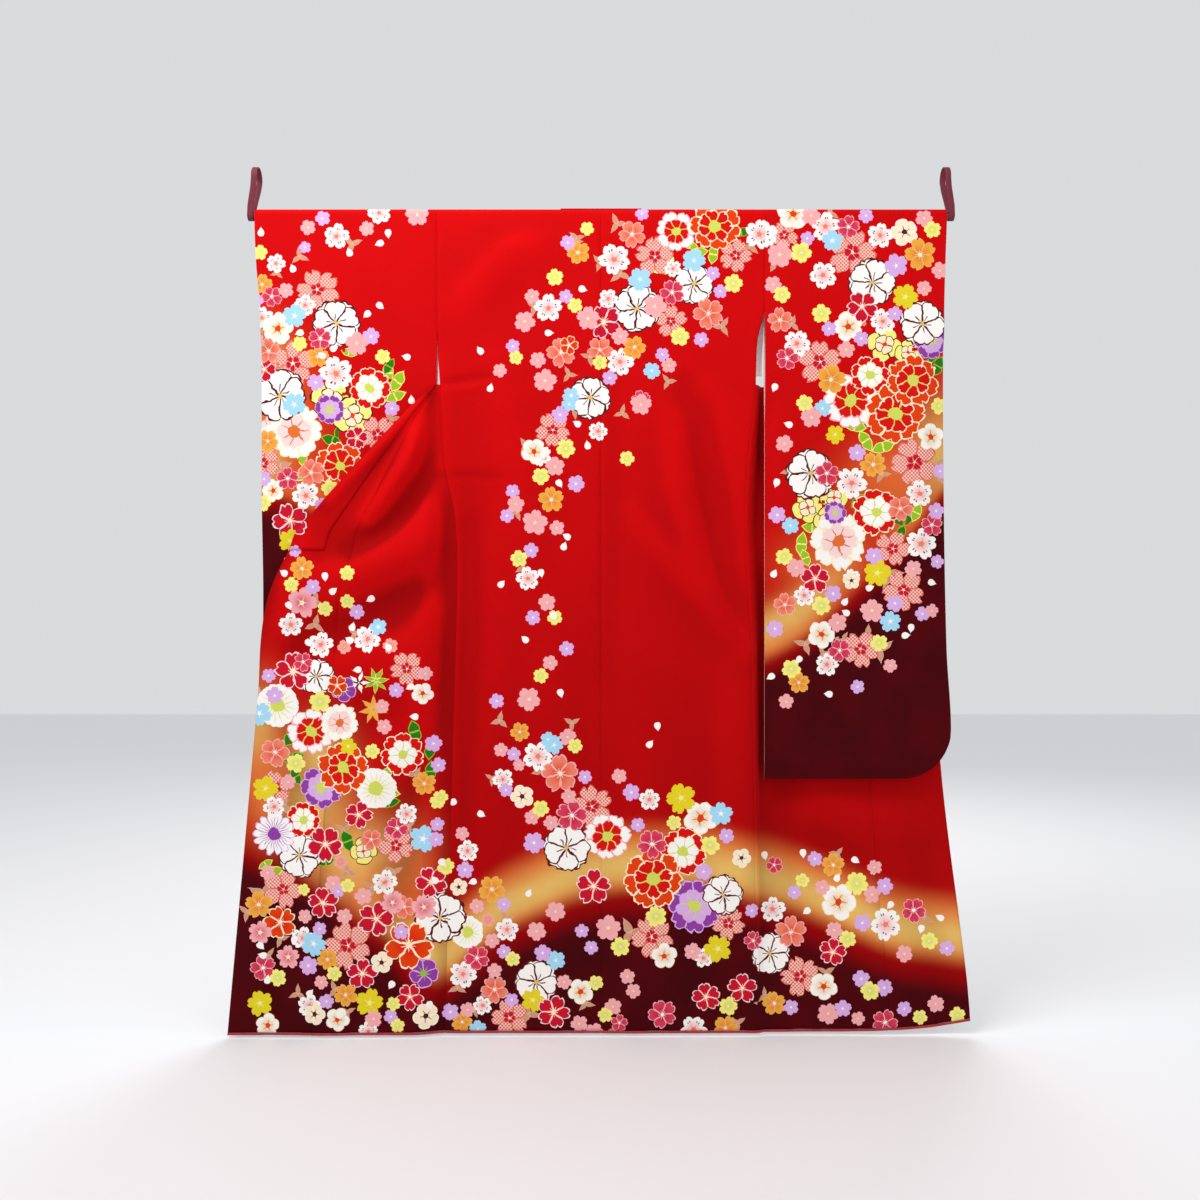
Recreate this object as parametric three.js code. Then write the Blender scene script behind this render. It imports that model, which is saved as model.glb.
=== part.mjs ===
// A long-sleeved furisode spread flat on a slim rod, which hangs in two strap loops.
// Millimetres, +Z up, +X to the right, the back of the garment towards -Y.
// The origin is midway between the two loops, on the axis of the bar that they go round.
// "out" is a distance from the centre back, and "level" is a height below the shoulder fold.

import * as THREE from 'three';

// Cloth and rod
const wall = 2;
const seamGap = 0.3;
const rodRadius = 9;
const rodDrop = 71;
const rodHalfLength = 684;
const drapeRadius = rodRadius + seamGap + wall / 2;
const turnStops = [0.045, 0.4, 0.8, 1.19];
const foldTurns = [-1.52, -1.19, -0.8, -0.4, 0, 0.4, 0.8, 1.19, 1.52];
const layerOffset = wall + seamGap;
const okumiGap = 0.9;
const leftSeamGap = 0.5;
const rightSeamGap = 1.4;
const shoulderZ = drapeRadius - rodDrop;

// Garment sizes
const backHalfWidth = 316.5;
const hemLevel = 1584;
const sleeveLevel = 1101;
const sleeveCornerRadius = 95;
const cuffLevel = 235;
const armholeLevel = 245;
const collarBandRise = 55;
const neckEdgeOut = 3;
const neckSlope = 30;
const edgeSlope = 0.933;
const collarAcross = 75;
const collarLegOut = 309;
const collarEndLevel = 660;
const collarEase = 0.4;
const collarEndColumn = 2;
const armholeInset = 4.5;
const sleeveFold = { from: 0.86, over: 45, bottom: 40 };
const backForward = { out: 270, span: 40, from: 250, over: 80, to: 1200, fade: 400, by: 3.5 };
const armholeTurn = { from: 200, over: 120 };
const frontUpperEnd = 320;
const cornerShare = 0.25;
const hemLiftFrom = 1100;
const okumiShare = 0.62;
const hemRollRadius = 2.6;

// Depths, positive away from the side that shows
const sleeveHemDepth = 6.5;
const leftFanDepth = -27;
const rightFanDepth = 21;
const rightFanHemDepth = -8;
const leftFanReach = 60;
const rightFanReach = 30;
const sleeveClearance = 2.5;
const backHemDepth = -15;

// Levels over which the back moves out from the rod, and where folds set in
const backHang = { from: armholeLevel, over: 1200 };
const backFoldsFrom = { from: 20, over: 60 };
const sleeveFoldsFrom = { from: 200, over: 100 };
const creaseSteps = 12;
const creaseEnds = { from: 0.06, to: 0.94 };

// Strap loops
const loopOutAtBar = 667;
const loopOutAtRod = 677.3;
const strapWidth = 11;
const strapThickness = 1.6;
const barLoopRadius = 20;
const topLoopSteps = 10;
const bottomLoopSteps = 8;

// Rows and columns of the walls
const backSteps = { down: 28, across: 10 };
const frontUpperSteps = { down: 7, across: 5 };
const foldOverColumns = 4;
const sleeveColumns = [0, 0.15, 0.34, 0.54, 0.72, 0.84, 0.92, 0.97, 1];
const sleeveRows = [...evenShares(14, 0, 0.965), 0.985, 1];
const frontColumns = { turning: 3, flat: 5, turnLimit: 0.4, turnUpTo: 0.75 };
const okumiColumns = 4;
const collarColumns = [0.42, 0.7, 1];
const neckPlaces = [-0.6, -0.2, 0.2, 0.6];
const hemRollSides = 6;
const rodSides = 24;

// Side seams of the back: distance from the centre at each level
const leftSeam = [
  { level: 0, out: 316.5 },
  { level: 245, out: 316.5 },
  { level: 330, out: 311 },
  { level: 486, out: 303 },
  { level: 583, out: 284 },
  { level: 690, out: 278 },
  { level: 950, out: 284 },
  { level: 1590, out: 301 },
];
const rightSeam = [
  { level: 0, out: 316.5 },
  { level: 190, out: 316.5 },
  { level: 255, out: 302 },
  { level: 370, out: 297 },
  { level: 467, out: 285 },
  { level: 602, out: 278 },
  { level: 850, out: 289 },
  { level: 1590, out: 302 },
];

// Free edges of the two fronts where they are drawn out past the side seams
const leftEdge = [
  { level: 330, out: 311 },
  { level: 618, out: 579 },
  { level: 658, out: 596 },
  { level: 712, out: 623 },
  { level: 762, out: 641 },
  { level: 834, out: 652 },
  { level: 920, out: 656 },
  { level: 1590, out: 716 },
];
const rightEdge = [
  { level: 330, out: 311 },
  { level: 618, out: 566 },
  { level: 712, out: 618 },
  { level: 834, out: 645 },
  { level: 1065, out: 662 },
  { level: 1498, out: 706 },
  { level: 1590, out: 713 },
];

// Outer edges of the sleeves
const leftSleeveEdge = [
  { level: 0, out: 669.5 },
  { level: 95, out: 666 },
  { level: 216, out: 657 },
  { level: 540, out: 657 },
  { level: 780, out: 654 },
  { level: 1101, out: 662 },
];
const rightSleeveEdge = [
  { level: 0, out: 668 },
  { level: 200, out: 662 },
  { level: 525, out: 663 },
  { level: 850, out: 669 },
  { level: 980, out: 677 },
  { level: 1101, out: 678 },
];

// Collar rows from the neck corner down: levels at its seam and at its free edge
const collarLeg = [
  { seam: 0.01, edge: 55 }, { seam: 0.8, edge: 56 }, { seam: 3.1, edge: 57.5 },
  { seam: 6.5, edge: 59.5 }, { seam: 10.3, edge: 62 }, { seam: 25, edge: 70 },
  { seam: 45, edge: 82 }, { seam: 75, edge: 99 }, { seam: 110, edge: 122 },
  { seam: 152, edge: 157 }, { seam: 200, edge: 200 }, { seam: 240, edge: 240 },
  { seam: 278, edge: 278 }, { seam: 312, edge: 312 },
];

// Lift of the right front's hem towards its corner
const rightHemLift = [
  { share: 0, lift: 0 },
  { share: 0.5, lift: 2 },
  { share: 0.8, lift: 8 },
  { share: 1, lift: 21 },
];

// Creases: from, through and to, as x and level; width is half the crease, rise is towards -Y
const backCreases = [
  { x0: 156, l0: 417, x1: 135, l1: 600, x2: 278, l2: 841, width: 34, rise: 10 },
  { x0: 64, l0: 590, x1: 150, l1: 705, x2: 289, l2: 849, width: 28, rise: 7 },
  { x0: 160, l0: 342, x1: 200, l1: 560, x2: 268, l2: 828, width: 26, rise: -9 },
  { x0: 199, l0: 388, x1: 232, l1: 540, x2: 257, l2: 650, width: 22, rise: -6 },
  { x0: -125, l0: 42, x1: -190, l1: 100, x2: -270, l2: 190, width: 44, rise: 5 },
  { x0: -262, l0: 620, x1: -262, l1: 900, x2: -268, l2: 1380, width: 26, rise: -5 },
  { x0: 248, l0: 900, x1: 262, l1: 1100, x2: 240, l2: 1420, width: 40, rise: 6 },
  { x0: 60, l0: 1000, x1: 90, l1: 1200, x2: 70, l2: 1560, width: 60, rise: 5 },
  { x0: -90, l0: 700, x1: -120, l1: 1000, x2: -100, l2: 1500, width: 60, rise: 4 },
];
const leftFanCreases = [
  { x0: -316, l0: 350, x1: -385, l1: 505, x2: -540, l2: 580, width: 40, rise: 13 },
  { x0: -309, l0: 372, x1: -360, l1: 580, x2: -580, l2: 645, width: 34, rise: -11 },
  { x0: -300, l0: 740, x1: -420, l1: 680, x2: -600, l2: 668, width: 40, rise: 9 },
  { x0: -320, l0: 800, x1: -430, l1: 900, x2: -560, l2: 1300, width: 60, rise: 6 },
  { x0: -310, l0: 760, x1: -370, l1: 1000, x2: -400, l2: 1500, width: 50, rise: -5 },
];
const rightFanCreases = [
  { x0: 312, l0: 350, x1: 390, l1: 500, x2: 560, l2: 600, width: 40, rise: 6 },
  { x0: 306, l0: 420, x1: 370, l1: 580, x2: 590, l2: 680, width: 38, rise: -10 },
  { x0: 290, l0: 640, x1: 420, l1: 720, x2: 620, l2: 800, width: 46, rise: 5 },
  { x0: 320, l0: 1060, x1: 430, l1: 1170, x2: 600, l2: 1330, width: 46, rise: 6 },
  { x0: 320, l0: 900, x1: 340, l1: 1150, x2: 380, l2: 1480, width: 44, rise: -7 },
];
const leftSleeveCreases = [
  { x0: -350, l0: 260, x1: -420, l1: 500, x2: -400, l2: 900, width: 60, rise: 3 },
  { x0: -600, l0: 250, x1: -560, l1: 600, x2: -590, l2: 1000, width: 60, rise: 3 },
];
const rightSleeveCreases = [
  { x0: 350, l0: 260, x1: 420, l1: 560, x2: 390, l2: 980, width: 60, rise: 3 },
  { x0: 600, l0: 300, x1: 570, l1: 640, x2: 600, l2: 1000, width: 60, rise: 3 },
];

const fanLevels = [340, 352, 368, ...evenShares(20, 390, hemLevel)];
const turnLevels = turnStops.map((turn) => drapeRadius * (1 - Math.cos(turn)));
const red = 0xc4101c;
const maroon = 0x55060d;
const darkWood = 0x1d1614;

function mix(a, b, share) {
  return a + (b - a) * share;
}

function ease(share) {
  const t = Math.min(1, Math.max(0, share));
  return t * t * (3 - 2 * t);
}

// Reads one column of a table at a place in another, smoothly and never past its rows.
function readTable(table, by, column, place) {
  if (place <= table[0][by]) return table[0][column];
  for (let i = 1; i < table.length; i++) {
    if (place > table[i][by]) continue;
    const before = table[Math.max(0, i - 2)];
    const from = table[i - 1];
    const to = table[i];
    const after = table[Math.min(table.length - 1, i + 1)];
    const span = to[by] - from[by];
    const t = (place - from[by]) / span;
    const slopeFrom = span * (to[column] - before[column]) / (to[by] - before[by]);
    const slopeTo = span * (after[column] - from[column]) / (after[by] - from[by]);
    const rise = to[column] - from[column];
    const bend = t * (slopeFrom + t * (3 * rise - 2 * slopeFrom - slopeTo));
    const value = from[column] + bend + t * t * t * (slopeFrom + slopeTo - 2 * rise);
    const ends = [from[column], to[column]];
    return THREE.MathUtils.clamp(value, Math.min(...ends), Math.max(...ends));
  }
  return table[table.length - 1][column];
}

// Height of all the soft creases at one place: each fades along its length and across it.
function creaseRise(creases, x, level) {
  let rise = 0;
  for (const crease of creases) {
    let nearest = Infinity;
    let share = 0;
    for (let i = 0; i <= creaseSteps; i++) {
      const t = i / creaseSteps;
      const cx = mix(mix(crease.x0, crease.x1, t), mix(crease.x1, crease.x2, t), t);
      const cl = mix(mix(crease.l0, crease.l1, t), mix(crease.l1, crease.l2, t), t);
      const away = Math.hypot(x - cx, level - cl);
      if (away < nearest) {
        nearest = away;
        share = t;
      }
    }
    const across = Math.exp(-((nearest / crease.width) ** 2));
    const along = Math.sin(Math.PI * mix(creaseEnds.from, creaseEnds.to, share));
    rise += crease.rise * across * Math.sqrt(Math.max(0, along));
  }
  return rise;
}

// Cloth that lies over the rod: side -1 is the back, 1 the far side.
function overRod(level, side, lift = 0) {
  const radius = drapeRadius + lift;
  if (level >= drapeRadius) return { y: side * radius, z: shoulderZ - level };
  const turn = Math.acos(1 - level / drapeRadius);
  return { y: side * radius * Math.sin(turn), z: radius * Math.cos(turn) - rodDrop };
}

// Levels of a hanging sheet's rows, from just below the cloth that turns over the rod.
function rowsBelowRod(bottom, steps) {
  return evenShares(steps, drapeRadius + seamGap, bottom);
}

// The cloth that turns over the rod, from its back to its far side.
function foldOver(side, innerOut, outerOut) {
  return gridOf(foldTurns, evenShares(foldOverColumns), (turn, share) => {
    const y = drapeRadius * Math.sin(turn);
    const z = drapeRadius * Math.cos(turn) - rodDrop;
    return new THREE.Vector3(side * mix(innerOut, outerOut, share), y, z);
  });
}

// A closed wall about the grid of points: grid[row][column], outside on the side of
// row direction x column direction when flip is 1.
function wallGeometry(grid, flip = 1) {
  const rows = grid.length;
  const columns = grid[0].length;
  const at = (i, j) => grid[Math.min(rows - 1, Math.max(0, i))][Math.min(columns - 1, Math.max(0, j))];
  const positions = [];
  const along = new THREE.Vector3();
  const across = new THREE.Vector3();
  for (const side of [1, -1]) {
    for (let i = 0; i < rows; i++) {
      for (let j = 0; j < columns; j++) {
        along.subVectors(at(i + 1, j), at(i - 1, j));
        across.subVectors(at(i, j + 1), at(i, j - 1));
        along.cross(across).normalize().multiplyScalar(flip * side * wall / 2);
        positions.push(...along.add(grid[i][j]).toArray());
      }
    }
  }
  const faces = [];
  const quad = (a, b, c, d) => {
    if (flip > 0) faces.push(a, b, c, a, c, d);
    else faces.push(a, c, b, a, d, c);
  };
  const place = (i, j, side) => side * rows * columns + i * columns + j;
  for (let i = 0; i + 1 < rows; i++) {
    for (let j = 0; j + 1 < columns; j++) {
      quad(place(i, j, 0), place(i + 1, j, 0), place(i + 1, j + 1, 0), place(i, j + 1, 0));
      quad(place(i, j, 1), place(i, j + 1, 1), place(i + 1, j + 1, 1), place(i + 1, j, 1));
    }
  }
  for (let i = 0; i + 1 < rows; i++) {
    const last = columns - 1;
    quad(place(i, 0, 1), place(i + 1, 0, 1), place(i + 1, 0, 0), place(i, 0, 0));
    quad(place(i, last, 0), place(i + 1, last, 0), place(i + 1, last, 1), place(i, last, 1));
  }
  for (let j = 0; j + 1 < columns; j++) {
    const last = rows - 1;
    quad(place(0, j, 0), place(0, j + 1, 0), place(0, j + 1, 1), place(0, j, 1));
    quad(place(last, j, 1), place(last, j + 1, 1), place(last, j + 1, 0), place(last, j, 0));
  }
  return closedGeometry(positions, faces);
}

// A closed tube through rings of points; each ring is a loop, and the ends are capped.
function ringGeometry(rings, joined = false) {
  const count = rings[0].length;
  const positions = rings.flat().flatMap((point) => point.toArray());
  const faces = [];
  const spans = joined ? rings.length : rings.length - 1;
  for (let i = 0; i < spans; i++) {
    const here = i * count;
    const next = ((i + 1) % rings.length) * count;
    for (let j = 0; j < count; j++) {
      const k = (j + 1) % count;
      faces.push(here + j, here + k, next + k, here + j, next + k, next + j);
    }
  }
  if (!joined) {
    const end = (rings.length - 1) * count;
    for (let j = 1; j + 1 < count; j++) {
      faces.push(0, j + 1, j, end, end + j, end + j + 1);
    }
  }
  return closedGeometry(positions, faces);
}

function closedGeometry(positions, faces) {
  const geometry = new THREE.BufferGeometry();
  geometry.setAttribute('position', new THREE.Float32BufferAttribute(positions, 3));
  geometry.setIndex(faces);
  geometry.computeVertexNormals();
  return geometry;
}

function gridOf(rowPlaces, columnPlaces, point) {
  return rowPlaces.map((row) => columnPlaces.map((column) => point(row, column)));
}

function evenShares(steps, from = 0, to = 1) {
  return Array.from({ length: steps + 1 }, (_, i) => mix(from, to, i / steps));
}

// Depth of the back at one place, with its folds, which fade out at the rod.
function backDepth(x, level) {
  const hang = mix(-drapeRadius, backHemDepth, ease((level - backHang.from) / backHang.over));
  const shown = ease((level - backFoldsFrom.from) / backFoldsFrom.over);
  const folds = creaseRise(backCreases, x, level) * shown;
  const { out, span, from, over, to, fade, by } = backForward;
  const inside = ease((level - from) / over) * ease((to - level) / fade);
  return hang - folds - by * ease((-x - out) / span) * inside;
}

// One width of the back, from the centre seam to its side seam.
function backPanel(side) {
  const seam = side < 0 ? leftSeam : rightSeam;
  const rows = rowsBelowRod(hemLevel, backSteps.down);
  return gridOf(rows, evenShares(backSteps.across), (level, share) => {
    const x = side * mix(seamGap / 2, readTable(seam, 'level', 'out', level), share);
    return new THREE.Vector3(x, backDepth(x, level), shoulderZ - level);
  });
}

// Level of a sleeve's bottom seam, which curves up at the outer corner.
function sleeveBottom(share, out, corner) {
  const inCorner = Math.max(0, out - (corner - sleeveCornerRadius));
  const reach = Math.min(inCorner, sleeveCornerRadius);
  const rise = sleeveCornerRadius - Math.sqrt(sleeveCornerRadius ** 2 - reach ** 2);
  return sleeveLevel - rise * ease(share / cornerShare);
}

// One layer of a sleeve. Below the cuff it comes in to its other layer at the outer edge,
// and it comes in along the bottom seam.
function sleeveLayer(side, face) {
  const edge = side < 0 ? leftSleeveEdge : rightSleeveEdge;
  const creases = side < 0 ? leftSleeveCreases : rightSleeveCreases;
  const innerOut = backHalfWidth + seamGap;
  const corner = readTable(edge, 'level', 'out', sleeveLevel);
  const closed = wall / 2 + seamGap / 2;
  return gridOf(sleeveRows, sleeveColumns, (row, share) => {
    const bottom = sleeveBottom(share, mix(innerOut, corner, share), corner);
    const level = mix(drapeRadius + seamGap, bottom, row);
    const out = mix(innerOut, readTable(edge, 'level', 'out', level), share);
    const below = ease((level - armholeLevel) / (sleeveLevel - armholeLevel));
    const atEdge = ease((share - sleeveFold.from) / (1 - sleeveFold.from));
    const cuff = ease((level - cuffLevel) / sleeveFold.over) * atEdge;
    const bottomSeam = ease((level - bottom + sleeveFold.bottom) / sleeveFold.bottom);
    const half = mix(mix(drapeRadius, sleeveHemDepth, below), closed, Math.max(cuff, bottomSeam));
    const folds = creaseRise(creases, side * out, level) * (1 - cuff) * (1 - bottomSeam);
    const y = face * half - folds * ease((level - sleeveFoldsFrom.from) / sleeveFoldsFrom.over);
    return new THREE.Vector3(side * out, y, shoulderZ - level);
  });
}

// The turn of a sleeve over the rod.
function sleeveTop(side) {
  const edge = side < 0 ? leftSleeveEdge : rightSleeveEdge;
  return foldOver(side, backHalfWidth + seamGap, readTable(edge, 'level', 'out', 0));
}

// Distance of the slanted neck edge from the centre, with its short corner at the shoulder.
function neckEdge(level) {
  const free = neckEdgeOut + edgeSlope * level;
  if (level > collarBandRise) return free;
  const bandCorner = neckEdgeOut + edgeSlope * collarBandRise;
  return mix(bandCorner + neckSlope, bandCorner, level / collarBandRise);
}

// The upper part of a front, on the far side: from the shoulder down to the underarm,
// between the armhole and the slanted neck edge.
function frontUpper(side) {
  const rows = rowsBelowRod(frontUpperEnd, frontUpperSteps.down);
  return gridOf(rows, evenShares(frontUpperSteps.across), (level, share) => {
    const armhole = backHalfWidth - armholeInset * ease((level - armholeTurn.from) / armholeTurn.over);
    const x = side * mix(neckEdge(level), armhole, share);
    return new THREE.Vector3(x, drapeRadius, shoulderZ - level);
  });
}

// Width over which a front turns from its side seam to its own depth. The right one has
// to be behind its sleeve where the sleeve begins.
function fanReach(side, level) {
  if (side < 0) return leftFanReach;
  const room = backHalfWidth - readTable(rightSeam, 'level', 'out', level) - sleeveClearance;
  return Math.min(rightFanReach, room);
}

// Depth of a front below the underarm. The left one lies before its sleeve. The right one
// lies behind its own, and comes forward to the back's depth from there to the hem.
function fanDepth(side, x, level, share, width) {
  const seam = side < 0 ? leftSeam : rightSeam;
  const start = backDepth(side * readTable(seam, 'level', 'out', level), level);
  const forward = ease((level - sleeveLevel) / (hemLevel - sleeveLevel));
  const target = side < 0 ? leftFanDepth : mix(rightFanDepth, rightFanHemDepth, forward);
  const away = ease(share * width / fanReach(side, level));
  const folds = creaseRise(side < 0 ? leftFanCreases : rightFanCreases, x, level);
  return mix(start, target, away) - folds * away;
}

function fanPoint(side, level, share) {
  const seam = side < 0 ? leftSeam : rightSeam;
  const seamOut = readTable(seam, 'level', 'out', level) + (side < 0 ? leftSeamGap : rightSeamGap);
  const edgeOut = readTable(side < 0 ? leftEdge : rightEdge, 'level', 'out', level);
  const out = mix(seamOut, edgeOut, share);
  const x = side * out;
  const y = fanDepth(side, x, level, share, edgeOut - seamOut);
  const lift = side < 0 ? 0 : readTable(rightHemLift, 'share', 'lift', share);
  const z = shoulderZ - level + lift * ease((level - hemLiftFrom) / (hemLevel - hemLiftFrom));
  return new THREE.Vector3(x, y, z);
}

function fanWidth(side, level) {
  const seamOut = readTable(side < 0 ? leftSeam : rightSeam, 'level', 'out', level);
  return readTable(side < 0 ? leftEdge : rightEdge, 'level', 'out', level) - seamOut;
}

// The front body of a fan, from its side seam, with close columns where it turns away.
function fanBody(side) {
  return fanLevels.map((level) => {
    const width = fanWidth(side, level);
    const turned = Math.min(frontColumns.turnLimit, fanReach(side, level) / width);
    const end = okumiShare - okumiGap / 2 / width;
    const turning = evenShares(frontColumns.turning, 0, turned * frontColumns.turnUpTo);
    const shares = [...turning, ...evenShares(frontColumns.flat, turned, end)];
    return shares.map((share) => fanPoint(side, level, share));
  });
}

function fanOkumi(side) {
  return fanLevels.map((level) => {
    const start = okumiShare + okumiGap / 2 / fanWidth(side, level);
    return evenShares(okumiColumns, start, 1).map((share) => fanPoint(side, level, share));
  });
}

// A grid moved out from its cloth by one layer, for what is sewn on top of it.
function movedOut(grid, side, distance) {
  const last = { row: grid.length - 1, column: grid[0].length - 1 };
  const along = new THREE.Vector3();
  const across = new THREE.Vector3();
  return grid.map((row, i) => row.map((point, j) => {
    along.subVectors(grid[Math.min(last.row, i + 1)][j], grid[Math.max(0, i - 1)][j]);
    across.subVectors(row[Math.min(last.column, j + 1)], row[Math.max(0, j - 1)]);
    return along.clone().cross(across).normalize().multiplyScalar(side * distance).add(point);
  }));
}

// The collar round the neck: one band from underarm to underarm over both slanted edges.
// Its rows run from the seam to the free edge, and turn the two corners at the neck.
function collar() {
  const corner = collarLeg[0];
  const turnShares = [...turnLevels, drapeRadius].map((level) => level / collarBandRise);
  const acrossShares = [...turnShares, ...collarColumns];
  const place = (side, out, level) => {
    const hang = overRod(level, 1, layerOffset + collarEase);
    return new THREE.Vector3(side * out, hang.y, hang.z);
  };
  const seamOut = (level) => Math.min(neckEdgeOut + edgeSlope * level + collarAcross, collarLegOut);
  const legRow = (side, row) => acrossShares.map((share) => {
    const out = mix(seamOut(row.seam), neckEdge(row.edge), share);
    return place(side, out, mix(row.seam, row.edge, share));
  });
  const neckRow = (across) => acrossShares.map((share) => {
    const out = mix(seamOut(corner.seam), neckEdge(corner.edge), share);
    return place(1, across * out, mix(corner.seam, corner.edge, share));
  });
  const left = collarLeg.map((row) => legRow(-1, row)).reverse();
  const right = collarLeg.map((row) => legRow(1, row));
  return [...left, ...neckPlaces.map(neckRow), ...right];
}

// The collar's end below the underarm, laid on the okumi along its free edge.
function collarEnd(side, okumi) {
  const rows = fanLevels.filter((level) => level < collarEndLevel).length;
  const strip = okumi.slice(0, rows).map((row) => row.slice(collarEndColumn));
  return movedOut(strip, side, layerOffset + collarEase);
}

// The roll of lining that shows along the bottom of the hem.
function hemRoll(bottomRow) {
  return bottomRow.map((point) => Array.from({ length: hemRollSides }, (_, k) => {
    const turn = 2 * Math.PI * k / hemRollSides;
    const y = point.y + hemRollRadius * Math.sin(turn);
    const z = point.z - hemRollRadius - seamGap + hemRollRadius * Math.cos(turn);
    return new THREE.Vector3(point.x, y, z);
  }));
}

// A strap loop round the bar above and the rod below, as a flat band on edge.
function strapLoop(side) {
  const top = barLoopRadius + strapThickness / 2;
  const bottom = rodRadius + seamGap + strapThickness / 2;
  const lean = Math.asin((top - bottom) / rodDrop);
  const path = [];
  for (let i = 0; i <= topLoopSteps; i++) {
    const turn = mix(-lean, Math.PI + lean, i / topLoopSteps);
    path.push({ y: top * Math.cos(turn), z: top * Math.sin(turn), turn });
  }
  for (let i = 0; i <= bottomLoopSteps; i++) {
    const turn = mix(Math.PI + lean, 2 * Math.PI - lean, i / bottomLoopSteps);
    path.push({ y: bottom * Math.cos(turn), z: bottom * Math.sin(turn) - rodDrop, turn });
  }
  return path.map((stop) => {
    const centre = side * mix(loopOutAtRod, loopOutAtBar, ease((stop.z + rodDrop) / rodDrop));
    const corner = (across, out) => new THREE.Vector3(
      centre + across * strapWidth / 2,
      stop.y + out * Math.cos(stop.turn) * strapThickness / 2,
      stop.z + out * Math.sin(stop.turn) * strapThickness / 2,
    );
    return [corner(1, -1), corner(1, 1), corner(-1, 1), corner(-1, -1)];
  });
}

// The straight rod through both sleeves.
function rodGeometry() {
  const geometry = new THREE.CylinderGeometry(rodRadius, rodRadius, 2 * rodHalfLength, rodSides);
  geometry.rotateZ(Math.PI / 2);
  geometry.translate(0, 0, -rodDrop);
  return geometry;
}

const silk = new THREE.MeshStandardMaterial({ color: red, roughness: 0.55, metalness: 0 });
const hemSilk = new THREE.MeshStandardMaterial({ color: maroon, roughness: 0.55, metalness: 0 });
const strapCloth = new THREE.MeshStandardMaterial({ color: maroon, roughness: 0.8, metalness: 0 });
const rodWood = new THREE.MeshStandardMaterial({ color: darkWood, roughness: 0.35, metalness: 0 });

const furisode = new THREE.Group();

function add(name, geometry, material) {
  const mesh = new THREE.Mesh(geometry, material.clone());
  mesh.name = name;
  furisode.add(mesh);
}

for (const [word, side] of [['left', -1], ['right', 1]]) {
  const back = backPanel(side);
  const front = fanBody(side);
  const okumi = fanOkumi(side);
  const hem = [...front.at(-1), ...okumi.at(-1)];
  if (side > 0) hem.reverse();
  add(`back_${word}`, wallGeometry(back, side), silk);
  add(`shoulder_${word}`, wallGeometry(foldOver(side, seamGap / 2, backHalfWidth), -side), silk);
  add(`front_${word}_upper`, wallGeometry(frontUpper(side), side), silk);
  add(`front_${word}`, wallGeometry(front, side), silk);
  add(`okumi_${word}`, wallGeometry(okumi, side), silk);
  add(`collar_end_${word}`, wallGeometry(collarEnd(side, okumi), side), silk);
  add(`sleeve_${word}_back`, wallGeometry(sleeveLayer(side, -1), side), silk);
  add(`sleeve_${word}_front`, wallGeometry(sleeveLayer(side, 1), side), silk);
  add(`sleeve_${word}_top`, wallGeometry(sleeveTop(side), -side), silk);
  add(`hem_roll_${word}`, ringGeometry(hemRoll(hem)), hemSilk);
  add(`strap_loop_${word}`, ringGeometry(strapLoop(side), true), strapCloth);
}

const backHem = [...backPanel(1).at(-1).reverse(), ...backPanel(-1).at(-1)];
add('hem_roll_back', ringGeometry(hemRoll(backHem)), hemSilk);
add('collar', wallGeometry(collar()), silk);
add('rod', rodGeometry(), rodWood);

export default furisode;
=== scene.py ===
import math
import random
import bpy
import numpy as np
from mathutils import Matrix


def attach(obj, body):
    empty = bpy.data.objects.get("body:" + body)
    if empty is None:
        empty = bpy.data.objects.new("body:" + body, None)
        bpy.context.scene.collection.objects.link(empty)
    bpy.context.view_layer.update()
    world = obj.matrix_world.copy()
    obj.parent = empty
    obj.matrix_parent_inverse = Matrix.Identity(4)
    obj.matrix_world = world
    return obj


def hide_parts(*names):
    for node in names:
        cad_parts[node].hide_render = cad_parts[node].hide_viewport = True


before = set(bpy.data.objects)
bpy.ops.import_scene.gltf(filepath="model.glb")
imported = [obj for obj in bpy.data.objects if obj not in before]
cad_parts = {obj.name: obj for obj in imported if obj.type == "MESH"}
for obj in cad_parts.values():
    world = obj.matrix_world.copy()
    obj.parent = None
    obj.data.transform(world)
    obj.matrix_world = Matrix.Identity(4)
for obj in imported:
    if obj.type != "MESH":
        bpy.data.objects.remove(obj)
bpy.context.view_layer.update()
print("frame loaded")

# Lengths below are millimetres, as x, a level under the shoulder fold, and a depth y.
shoulderZ = -60.7
rodDrop = 71
drapeRadius = 10.3
hemLevel = 1584
sleeveLevel = 1101
armholeLevel = 245
backHalfWidth = 316.5
seamGap = 0.05  # on each side of a seam
clothPitch = 6.5


def clearSelection():
    bpy.ops.object.select_all(action="DESELECT")


def toLinear(r, g, b):
    # The usual curve from screen colours to linear ones.
    return tuple(((c / 255 + 0.055) / 1.055) ** 2.4 if c > 10 else c / 255 / 12.92 for c in (r, g, b))


# Camera
view = {"place": (-0.002, -2.512, -0.816), "lens": 38.9, "sensor": 36}
camera = bpy.data.cameras.new("camera")
camera.lens = view["lens"]
camera.sensor_width = view["sensor"]
camera.dof.use_dof = False
cameraObject = bpy.data.objects.new("camera", camera)
cameraObject.location = view["place"]
cameraObject.rotation_euler = (math.radians(90), 0, 0)
bpy.context.scene.collection.objects.link(cameraObject)
bpy.context.scene.camera = cameraObject
bpy.context.scene.view_settings.view_transform = "Standard"


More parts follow.
